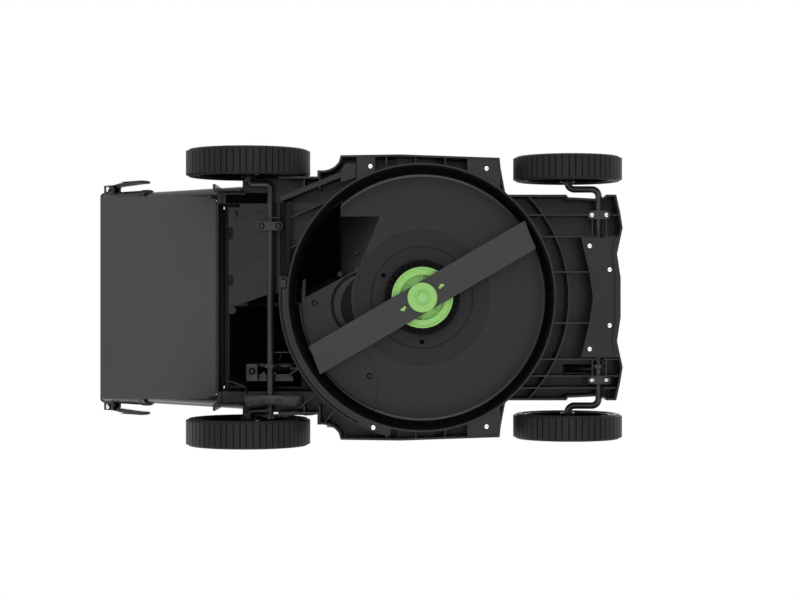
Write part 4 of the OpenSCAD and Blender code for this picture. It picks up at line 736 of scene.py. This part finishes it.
cover_trim = bmesh.new()
foot = [(x, y, 132.2) for x, y in squared_ellipse(COVER_MIDDLE, 264.6, 156.6, 4.6, COVER_STEPS)
        if x > BULKHEAD_X]
rod(cover_trim, opened(foot), 1.5, 8)
rod(cover_trim, cover_loop(163), 1.0, 8)
rod(cover_trim, cover_loop(206), 1.0, 8)
new_piece("cover_seams", cover_trim, "black_plastic")

louvres = bmesh.new()
for side in (-1, 1):
    for slot in range(7):
        middle = 18 * slot - 92
        for height in (172, 179, 186, 193):
            hit = met("top_cover", (middle + 6, side * 300, height), (0, -side, 0))
            if hit:
                y = abs(hit[0].y)
                low, high = sorted((side * (y - 5.5), side * (y - 1.0)))
                block(louvres, (middle - 4.4, low, height), (middle + 4.4, high, height + 1.6), 0.3)
new_piece("cover_louvres", louvres, "black_plastic")

beads = bmesh.new()
for side in (-1, 1):
    path = []
    for x in range(-120, 246, 12):
        y = side * (74 - 0.00045 * (x - COVER_MIDDLE) ** 2)
        hit = met("top_cover", (x, y, ABOVE_COVER), DOWN)
        if hit:
            path.append(hit[0] + hit[1] * 0.1)
    if len(path) > 4:
        rod(beads, path, 1.6, 8)
new_piece("cover_beads", beads, "green_shell")

cover_bolts = bmesh.new()
for x, y in ((52, 68), (52, -68), (190, 62), (190, -62), (-112, 120), (-112, -120), (268, 96), (268, -96)):
    hit = met("top_cover", (x, y, ABOVE_COVER), DOWN)
    if hit:
        seat = Matrix.Translation(at(*hit[0])) @ hit[1].to_track_quat("Z", "Y").to_matrix().to_4x4()
        seat = seat @ Matrix.Scale(0.001, 4)
        turned(cover_bolts, [(4.4, -1), (6.2, 0.2), (5.8, 0.9), (4.6, 0.5)], seat, 24)
        screw(cover_bolts, seat, 3.6, 1.6, 1.5, 5)
new_piece("cover_bolts", cover_bolts, "dark_zinc")

# Top: the battery lid

LID_TOP = 257
PANEL_REAR, PANEL_FRONT, PANEL_HALF, PANEL_CORNER = 76, 160, 46, 8
lid = bmesh.new()
panel = [(PANEL_REAR + PANEL_CORNER, -PANEL_HALF), (PANEL_FRONT - PANEL_CORNER, -PANEL_HALF),
         (PANEL_FRONT, -PANEL_HALF + PANEL_CORNER), (PANEL_FRONT, PANEL_HALF - PANEL_CORNER),
         (PANEL_FRONT - PANEL_CORNER, PANEL_HALF), (PANEL_REAR + PANEL_CORNER, PANEL_HALF),
         (PANEL_REAR, PANEL_HALF - PANEL_CORNER), (PANEL_REAR, -PANEL_HALF + PANEL_CORNER)]
rod(lid, eased([(x, y, LID_TOP) for x, y in panel], 6, 3), 1.1, 8, closed=True)
for x in range(96, 146, 7):
    block(lid, (x - 1.2, -30, LID_TOP - 0.5), (x + 1.2, 30, LID_TOP + 1.3), 0.6)
new_piece("lid_ribs", lid, "black_plastic", body="lid")
grip = bmesh.new()
block(grip, (62.6, -24, LID_TOP - 0.6), (66.2, 24, LID_TOP + 2.0), 0.9)
new_piece("lid_pull", grip, "green_shell", body="lid")
lid_pins = bmesh.new()
for y in (-53.5, -27.2, 27.2, 53.5):
    turned(lid_pins, [(0, -1.2), (1.9, -1.2), (2.2, 0), (1.9, 1.2), (0, 1.2)],
           placed(180, y, 255.5, "Y"), 16)
new_piece("lid_hinge_pins", lid_pins, "bright_steel", body="lid")

# Wheels: rings on the tyre, ribs on the rim, and the cap's face

# Where a wheel's axis and inner face are, its diameter and its width
REAR_WHEEL = {"x": -287.5, "inner_y": 199, "across": 205, "wide": 45}
FRONT_WHEEL = {"x": 239.3, "inner_y": 190.5, "across": 178.5, "wide": 41}
RIM_RIBS, CAP_RIBS = 18, 6
TYRE_THICK, SHOULDER_IN = 14.4, 4.0


def wheel_details(wheel, side, x, inner_y, across, wide):
    """The details of one wheel, drawn about its axis from its inner face outwards."""
    body = wheel + "_wheel"
    axis = placed(x, side * inner_y, across / 2, "Y" if side > 0 else "-Y")
    bore = across / 2 - TYRE_THICK
    shoulder = across / 2 - SHOULDER_IN
    tyre = bmesh.new()
    for radius, face, out in ((bore + 2.2, 0.4, -1), (bore + 5.6, 0.3, -1), (bore - 0.5, wide - 0.9, 1),
                              (shoulder, 1.8, -1), (shoulder, wide - 1.8, 1)):
        turned(tyre, [(radius - 1, face - out * 1.0), (radius - 0.7, face + out * 0.3),
                      (radius, face + out * 0.7), (radius + 0.7, face + out * 0.3),
                      (radius + 1, face - out * 1.0)], axis, 96)
    new_piece(wheel + "_tyre_rings", tyre, "tyre_plastic", body=body)
    rim = bmesh.new()
    for rib in range(RIM_RIBS):
        spoke = axis @ Matrix.Rotation(math.tau * rib / RIM_RIBS, 4, "Z")
        sunk = 6 if rib % 2 else 4.5
        block(rim, (31.6, -0.9, wide - 11.5), (bore - 3.2, 0.9, wide - sunk), 0.3, spoke)
    turned(rim, [(bore - 5.9, wide - 4), (bore - 5.6, wide - 1.4), (bore - 4.6, wide - 0.8),
                 (bore - 3.4, wide - 1.4), (bore - 3.4, wide - 4)], axis, 96)
    turned(rim, [(33.0, wide - 11.5), (33.0, wide - 8.4), (34.6, wide - 7.8), (36.0, wide - 8.4),
                 (36.0, wide - 11.5)], axis, 64)
    turned(rim, [(8.4, 2.5), (8.4, -0.8), (9.6, -1.6), (11.4, -1.2), (11.8, 2.5)], axis, 48)
    new_piece(wheel + "_rim_ribs", rim, "rim_plastic", body=body)
    cap = bmesh.new()
    turned(cap, [(27.2, wide - 1.4), (26.4, wide - 0.5), (23.6, wide - 0.3), (22.6, wide - 1.2)], axis, 64)
    turned(cap, [(13.4, wide - 1.4), (12.6, wide - 0.6), (9.0, wide - 0.3), (0, wide - 0.2)], axis, 48)
    for rib in range(CAP_RIBS):
        spoke = axis @ Matrix.Rotation(math.tau * (rib + 0.5) / CAP_RIBS, 4, "Z")
        block(cap, (12.8, -1.2, wide - 1.6), (23.2, 1.2, wide - 0.4), 0.4, spoke)
    new_piece(wheel + "_cap_face", cap, "green_shell", body=body)


wheel_details("rear_left", 1, **REAR_WHEEL)
wheel_details("rear_right", -1, **REAR_WHEEL)
wheel_details("front_left", 1, **FRONT_WHEEL)
wheel_details("front_right", -1, **FRONT_WHEEL)

# Rear: springs round the door's hinge rod

HINGE_X, HINGE_Z = -325, 269
COIL_TURNS, COIL_STEPS, COIL_RADIUS = 7, 12, 4.4
hinge_springs = bmesh.new()
for low, high in ((-96, -76), (76, 96)):
    coil = [(HINGE_X + COIL_RADIUS, low, HINGE_Z - 5.6)]
    for step in range(COIL_TURNS * COIL_STEPS + 1):
        angle = math.tau * step / COIL_STEPS
        coil.append((HINGE_X + COIL_RADIUS * math.cos(angle),
                     low + (high - low) * step / (COIL_TURNS * COIL_STEPS),
                     HINGE_Z + COIL_RADIUS * math.sin(angle)))
    coil.append((HINGE_X + COIL_RADIUS, high, HINGE_Z - 5.6))
    rod(hinge_springs, coil, 0.8, 6)
new_piece("hinge_springs", hinge_springs, "dark_zinc")

# Grass box: ribs on the sides and top of its lid, and the bead over the tray

RIB_FOOT, RIB_LEAST, RIB_TOP = 306, 322, 432
SLOPE_REAR, SLOPE_RISE, SLOPE_UNDER = -620, 0.577, 14
box_ribs = bmesh.new()
for side in (-1, 1):
    for x in range(-762, -380, 34):
        low, high = sorted((side * 164.6, side * 166.0))
        top = RIB_TOP if x < SLOPE_REAR else min(RIB_TOP, HINGE_Z + (HINGE_X - x) * SLOPE_RISE - SLOPE_UNDER)
        if top > RIB_LEAST:
            block(box_ribs, (x - 1.6, low, RIB_FOOT), (x + 1.6, high, top), 0.6)
    low, high = sorted((side * 164.4, side * 167.2))
    block(box_ribs, (-794, low, 297.5), (-460, high, 302.5), 1.0)
for y in range(-140, 141, 28):
    block(box_ribs, (-760, y - 1.3, 439.4), (-650, y + 1.3, 441.2), 0.6)
new_piece("box_lid_ribs", box_ribs, "lid_plastic", body="grass_box")

# Handle: nuts at the pivots, plugs, clamp rings and bolts, cam ribs, collars and the switch box

TUBE_Y = 179
GRIP_PLACE = 1167
CLAMP_BOLT_PLACE, CLAMP_BOLT_Y = 413, 200
pivot_nuts = bmesh.new()
for side in (-1, 1):
    hex_nut(pivot_nuts, placed(PIVOT_X, side * 190.4, PIVOT_Z, "Y" if side > 0 else "-Y"), 5.6, 4.2, 2.4)
new_piece("pivot_nuts", pivot_nuts, "bright_steel", body="lower_handle")

tube_plugs = bmesh.new()
for side in (-1, 1):
    turned(tube_plugs, [(0, 1.5), (9.4, 1.5), (9.4, 0), (11.2, 0), (11.2, -1.2), (10, -2.2), (0, -2.8)],
           placed(-13, side * TUBE_Y, 0, "X", HANDLE), 32)
new_piece("tube_plugs", tube_plugs, "black_plastic", body="lower_handle")

clamp_trim = bmesh.new()
for side in (-1, 1):
    for place in (307, 312, 317):
        turned(clamp_trim, [(15.2, -1.1), (16.2, -0.7), (16.2, 0.7), (15.2, 1.1)],
               placed(place, side * TUBE_Y, 0, "X", HANDLE), 40)
    for place in range(332, 396, 9):
        turned(clamp_trim, [(14.2, -1.6), (15.3, -0.9), (15.3, 0.9), (14.2, 1.6)],
               placed(place, side * TUBE_Y, 0, "X", HANDLE), 40)
    turned(clamp_trim, [(14.2, -2.5), (15.8, -1.8), (15.8, 1.2), (13.6, 2.2), (11.4, 2.2)],
           placed(433, side * TUBE_Y, 0, "X", HANDLE), 40)
new_piece("clamp_rings", clamp_trim, "black_plastic", body="lower_handle")

clamp_bolts = bmesh.new()
for side in (-1, 1):
    for height, axis in ((-10.6, "-Z"), (10.6, "Z")):
        turned(clamp_bolts, [(3, -1), (4.6, -0.2), (4.6, 0.9), (3.6, 1.7), (0, 1.9)],
               placed(CLAMP_BOLT_PLACE, side * CLAMP_BOLT_Y, height, axis, HANDLE), 24)
    screw(clamp_bolts, placed(311, side * TUBE_Y, -15.4, "-Z", HANDLE), 3.0, 1.6, 1.4, 5)
new_piece("clamp_bolts", clamp_bolts, "bright_steel", body="lower_handle")

for side, body in ((1, "cam_left"), (-1, "cam_right")):
    cam = bmesh.new()
    low, high = sorted((side * 210.6, side * 212.2))
    for place in range(318, 378, 7):
        block(cam, (place - 1.1, low, -8.6), (place + 1.1, high, 8.6), 0.5, HANDLE)
    new_piece(body + "_ribs", cam, "black_plastic", body=body)

grip_trim = bmesh.new()
for y in (-117.2, 117.2):
    turned(grip_trim, [(9.6, -2.4), (13.6, -2.0), (14.3, -1.0), (14.3, 1.0), (13.6, 2.0), (9.6, 2.4)],
           placed(GRIP_PLACE, y, 0, "Y", HANDLE), 40)
new_piece("grip_collars", grip_trim, "black_plastic", body="upper_loop")

# The switch box: its seam, cover panel, button ring and screws
BOX_START, BOX_END = 1005, 1077
BOX_INNER, BOX_OUTER = 93.5, 169.5
BUTTON_PLACE, BUTTON_Y = 1027, 131.5
box_trim = bmesh.new()
seam = [(BOX_START, BOX_INNER), (BOX_END, BOX_INNER), (BOX_END, BOX_OUTER - 4), (BOX_START, BOX_OUTER - 4)]
rod(box_trim, eased([(place, y, 0) for place, y in seam], 1, 2), 0.9, 8, closed=True, where=HANDLE)
plate(box_trim, [(BOX_START + 5, BOX_INNER + 6), (BOX_END - 5, BOX_INNER + 6), (BOX_END - 5, BOX_OUTER - 12),
                 (BOX_START + 5, BOX_OUTER - 12)], 19.4, 21.2, 0.7, HANDLE)
for place in range(1020, 1066, 6):
    block(box_trim, (place - 1, BOX_INNER + 12, 20.6), (place + 1, BOX_OUTER - 18, 22.0), 0.4, HANDLE)
turned(box_trim, [(9.6, 0), (12.4, 0), (12.4, 1.2), (11.4, 2.0), (10.2, 1.6), (9.6, 0.6)],
       placed(BUTTON_PLACE, BUTTON_Y, -19.6, "-Z", HANDLE), 40)
new_piece("switch_box_trim", box_trim, "black_plastic", body="upper_loop")
box_screws = bmesh.new()
for place in (1011, 1071):
    for y in (99, 163):
        screw(box_screws, placed(place, y, -20, "-Z", HANDLE), 2.7, 1.2, 1.2, 4)
for place in (1043, 1059):
    screw(box_screws, placed(place, -163, 10, "Z", HANDLE), 2.7, 1.2, 1.2, 4)
new_piece("switch_box_screws", box_screws, "dark_zinc", body="upper_loop")
button_ring = bmesh.new()
turned(button_ring, [(7.4, -0.6), (7.2, 0.5), (5.6, 0.9), (4.6, 0.3), (0, 0.1), (0, -0.6)],
       placed(BUTTON_PLACE, BUTTON_Y, -26, "-Z", HANDLE), 32)
new_piece("button_face", button_ring, "green_shell", body="button")

# Side: the height lever's nut, rings on its knob, and the quadrant's screws and marks

REAR_BAR_X, REAR_BAR_Z = -250.7, 102.5
LEVER_LEAN, NOTCH_STEP = 30, 16
QUADRANT_Y = 192.6
QUADRANT_REACH = 66


def lever_frame(lean):
    """A frame on the rear axle bar, its Z along a lever that leans forward by some degrees."""
    bar = Matrix.Translation((REAR_BAR_X, 0, REAR_BAR_Z))
    return MM @ bar @ Matrix.Rotation(math.radians(lean), 4, "Y")


lever_trim = bmesh.new()
lever_y = (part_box("height_lever")[1] - blade_axis).y * 1000
hex_nut(lever_trim, placed(REAR_BAR_X, lever_y - 0.2, REAR_BAR_Z, "Y"), 5.0, 2.6, 2.0)
new_piece("lever_nut", lever_trim, "bright_steel", body="rear_axle_body")
knob = bmesh.new()
for rise in (10, 14, 18, 22, 26):
    turned(knob, [(13.4, -0.9), (14.5, -0.5), (14.5, 0.5), (13.4, 0.9)],
           placed(0, lever_y + rise, 200, "Y", lever_frame(LEVER_LEAN)), 40)
new_piece("knob_rings", knob, "green_shell", body="rear_axle_body")
quadrant_trim = bmesh.new()
for angle in (80, 112):
    turn = math.radians(angle)
    screw(quadrant_trim, placed(REAR_BAR_X + QUADRANT_REACH * math.sin(turn), QUADRANT_Y,
                                REAR_BAR_Z + QUADRANT_REACH * math.cos(turn), "Y"), 3.4, 1.4, 1.5, 6)
new_piece("quadrant_screws", quadrant_trim, "bright_steel")
marks = bmesh.new()
for step in range(-2, 3):
    block(marks, (-0.7, 192.4, 60), (0.7, 193.2, QUADRANT_REACH + 1.5 * (step + 2)), 0.25,
          lever_frame(LEVER_LEAN + NOTCH_STEP * step))
new_piece("height_marks", marks, "bright_steel")

# Body: ribs on the housing's roof, beads on the skirts and the box tray, and the flap's grip

ABOVE_ROOF = 320
body_trim = bmesh.new()
for y in (-120, -80, -40, 40, 80, 120):
    low, high = met("deck", (-150, y, ABOVE_ROOF), DOWN), met("deck", (-285, y, ABOVE_ROOF), DOWN)
    if low and high:
        rod(body_trim, [low[0], high[0]], 1.6, 8)
for side in (-1, 1):
    path = []
    for x in range(-28, 120, 8):
        hit = met("deck", (x, side * 320, 112), (0, -side, 0))
        if hit:
            path.append(hit[0])
    if len(path) > 4:
        rod(body_trim, path, 1.8, 8)
new_piece("deck_beads", body_trim, "deck_plastic")

box_beads = bmesh.new()
for side in (-1, 1):
    for z, x_low, x_high in ((176, -780, -372), (190, -786, -372)):
        rod(box_beads, [(x_low, side * 169.9, z), (x_high, side * 169.9, z)], 1.3, 8)
    for x in range(-760, -400, 60):
        low, high = sorted((side * 169.2, side * 170.9))
        block(box_beads, (x - 1.4, low, 152), (x + 1.4, high, 203), 0.6)
new_piece("box_tray_beads", box_beads, "box_plastic", body="grass_box")

flap_trim = bmesh.new()
for x in (-752, -744, -736):
    block(flap_trim, (x - 1, -22, 443), (x + 1, 22, 444.4), 0.4)
for y in (-30.5, 26.5):
    turned(flap_trim, [(0, 0), (2.4, 0), (2.4, 4), (0, 4)], placed(-710.5, y, 442.4, "Y"), 20)
new_piece("flap_grip", flap_trim, "green_shell", body="full_flap")

# Staging


def white_card(name, middle, half_x, half_y):
    """A flat level sheet of the staging, facing up."""
    mesh = bpy.data.meshes.new(name)
    bm = bmesh.new()
    bmesh.ops.create_grid(bm, x_segments=1, y_segments=1, size=1.0,
                          matrix=Matrix.Translation(middle) @ Matrix.Diagonal((half_x, half_y, 1, 1)))
    bm.to_mesh(mesh)
    bm.free()
    card = bpy.data.objects.new(name, mesh)
    bpy.context.scene.collection.objects.link(card)
    return card


SENSOR_WIDE = 36.0
camera_data = bpy.data.cameras.new("camera")
camera_data.sensor_width = SENSOR_WIDE
camera_data.lens = SENSOR_WIDE * FOCAL_PIXELS / IMAGE_WIDE
camera_data.clip_start, camera_data.clip_end = 0.005, 60.0
camera = bpy.data.objects.new("camera", camera_data)
camera.location = blade_axis + Vector((CAMERA_BACK, CAMERA_SIDE, -CAMERA_DEPTH))
camera.rotation_euler = (math.pi, 0, 0)
bpy.context.scene.collection.objects.link(camera)
bpy.context.scene.camera = camera

# The photograph is cut off along an upright line: a small card near the lens does the same
CUT_PIXEL = 100.3
CARD_AHEAD = 0.020
CARD_HALF_X, CARD_HALF_Y = 0.0008, 0.004
cut_x = camera.location.x + (CUT_PIXEL - IMAGE_WIDE / 2) / FOCAL_PIXELS * CARD_AHEAD
card = white_card("cut_card", (cut_x - CARD_HALF_X, camera.location.y, camera.location.z + CARD_AHEAD),
                  CARD_HALF_X, CARD_HALF_Y)

FLOOR_HALF = 14.0
FLOOR_Z = -0.0004
FADE_START, FADE_END = 1.4, 4.5
floor = white_card("floor", (0, 0, FLOOR_Z), FLOOR_HALF, FLOOR_HALF)


def stage_material(name, from_above_only):
    """White to the camera. The floor shows from above only, and takes light and shadow near the mower."""
    material = bpy.data.materials.new(name)
    material.use_nodes = True
    tree = material.node_tree
    tree.nodes.clear()
    path = tree.nodes.new("ShaderNodeLightPath")
    clear = tree.nodes.new("ShaderNodeBsdfTransparent")
    if from_above_only:
        side = tree.nodes.new("ShaderNodeNewGeometry")
        shows = maths(tree, "SUBTRACT", path.outputs["Is Camera Ray"], side.outputs["Backfacing"])
        place = tree.nodes.new("ShaderNodeTexCoord").outputs["Object"]
        reach = wire(tree, "ShaderNodeVectorMath", {"operation": "LENGTH"}, i0=place).outputs["Value"]
        near = wire(tree, "ShaderNodeBsdfDiffuse", Color=(0.92, 0.92, 0.92, 1))
        far = wire(tree, "ShaderNodeEmission", Color=(1, 1, 1, 1), Strength=1.0)
        shown = wire(tree, "ShaderNodeMixShader", i0=spread(tree, reach, FADE_START, FADE_END),
                     i1=near.outputs[0], i2=far.outputs[0])
    else:
        shows = path.outputs["Is Camera Ray"]
        shown = wire(tree, "ShaderNodeEmission", Color=(1, 1, 1, 1), Strength=1.0)
    mix = wire(tree, "ShaderNodeMixShader", i0=shows, i1=clear.outputs[0], i2=shown.outputs[0])
    tree.links.new(mix.outputs[0], tree.nodes.new("ShaderNodeOutputMaterial").inputs["Surface"])
    return material


card.data.materials.append(stage_material("card_white", False))
floor.data.materials.append(stage_material("floor_white", True))

LAMP_AIM = (0, 0, 0.15)

def lamp(name, place, size, power):
    """A soft square lamp at a place, turned to the middle of the mower."""
    data = bpy.data.lights.new(name, "AREA")
    data.shape = "SQUARE"
    data.size = size
    data.energy = power
    holder = bpy.data.objects.new(name, data)
    holder.location = place
    aim = Vector(LAMP_AIM) - holder.location
    holder.rotation_euler = aim.to_track_quat("-Z", "Y").to_euler()
    holder.visible_camera = False
    bpy.context.scene.collection.objects.link(holder)


lamp("lamp_under_left", (0.6, 2.6, -3.2), 3.4, 55)
lamp("lamp_under_right", (0.2, -2.6, -3.4), 3.4, 45)
lamp("lamp_over", (0.8, -2.2, 4.0), 3.0, 90)
lamp("lamp_behind", (-3.6, 2.0, 2.6), 2.4, 50)

FILL = 0.40
world = bpy.data.worlds.new("world")
bpy.context.scene.world = world
world.use_nodes = True
sky = world.node_tree
sky.nodes.clear()
path = sky.nodes.new("ShaderNodeLightPath").outputs
mirrored = maths(sky, "MAXIMUM", path["Is Glossy Ray"], path["Is Transmission Ray"])
shows = maths(sky, "MAXIMUM", path["Is Camera Ray"], mirrored)
fill = wire(sky, "ShaderNodeBackground", Color=(1, 1, 1, 1), Strength=FILL)
white = wire(sky, "ShaderNodeBackground", Color=(1, 1, 1, 1), Strength=1.0)
both = wire(sky, "ShaderNodeMixShader", i0=shows, i1=fill.outputs[0], i2=white.outputs[0])
sky.links.new(both.outputs[0], sky.nodes.new("ShaderNodeOutputWorld").inputs["Surface"])

bpy.context.scene.view_settings.view_transform = "Standard"
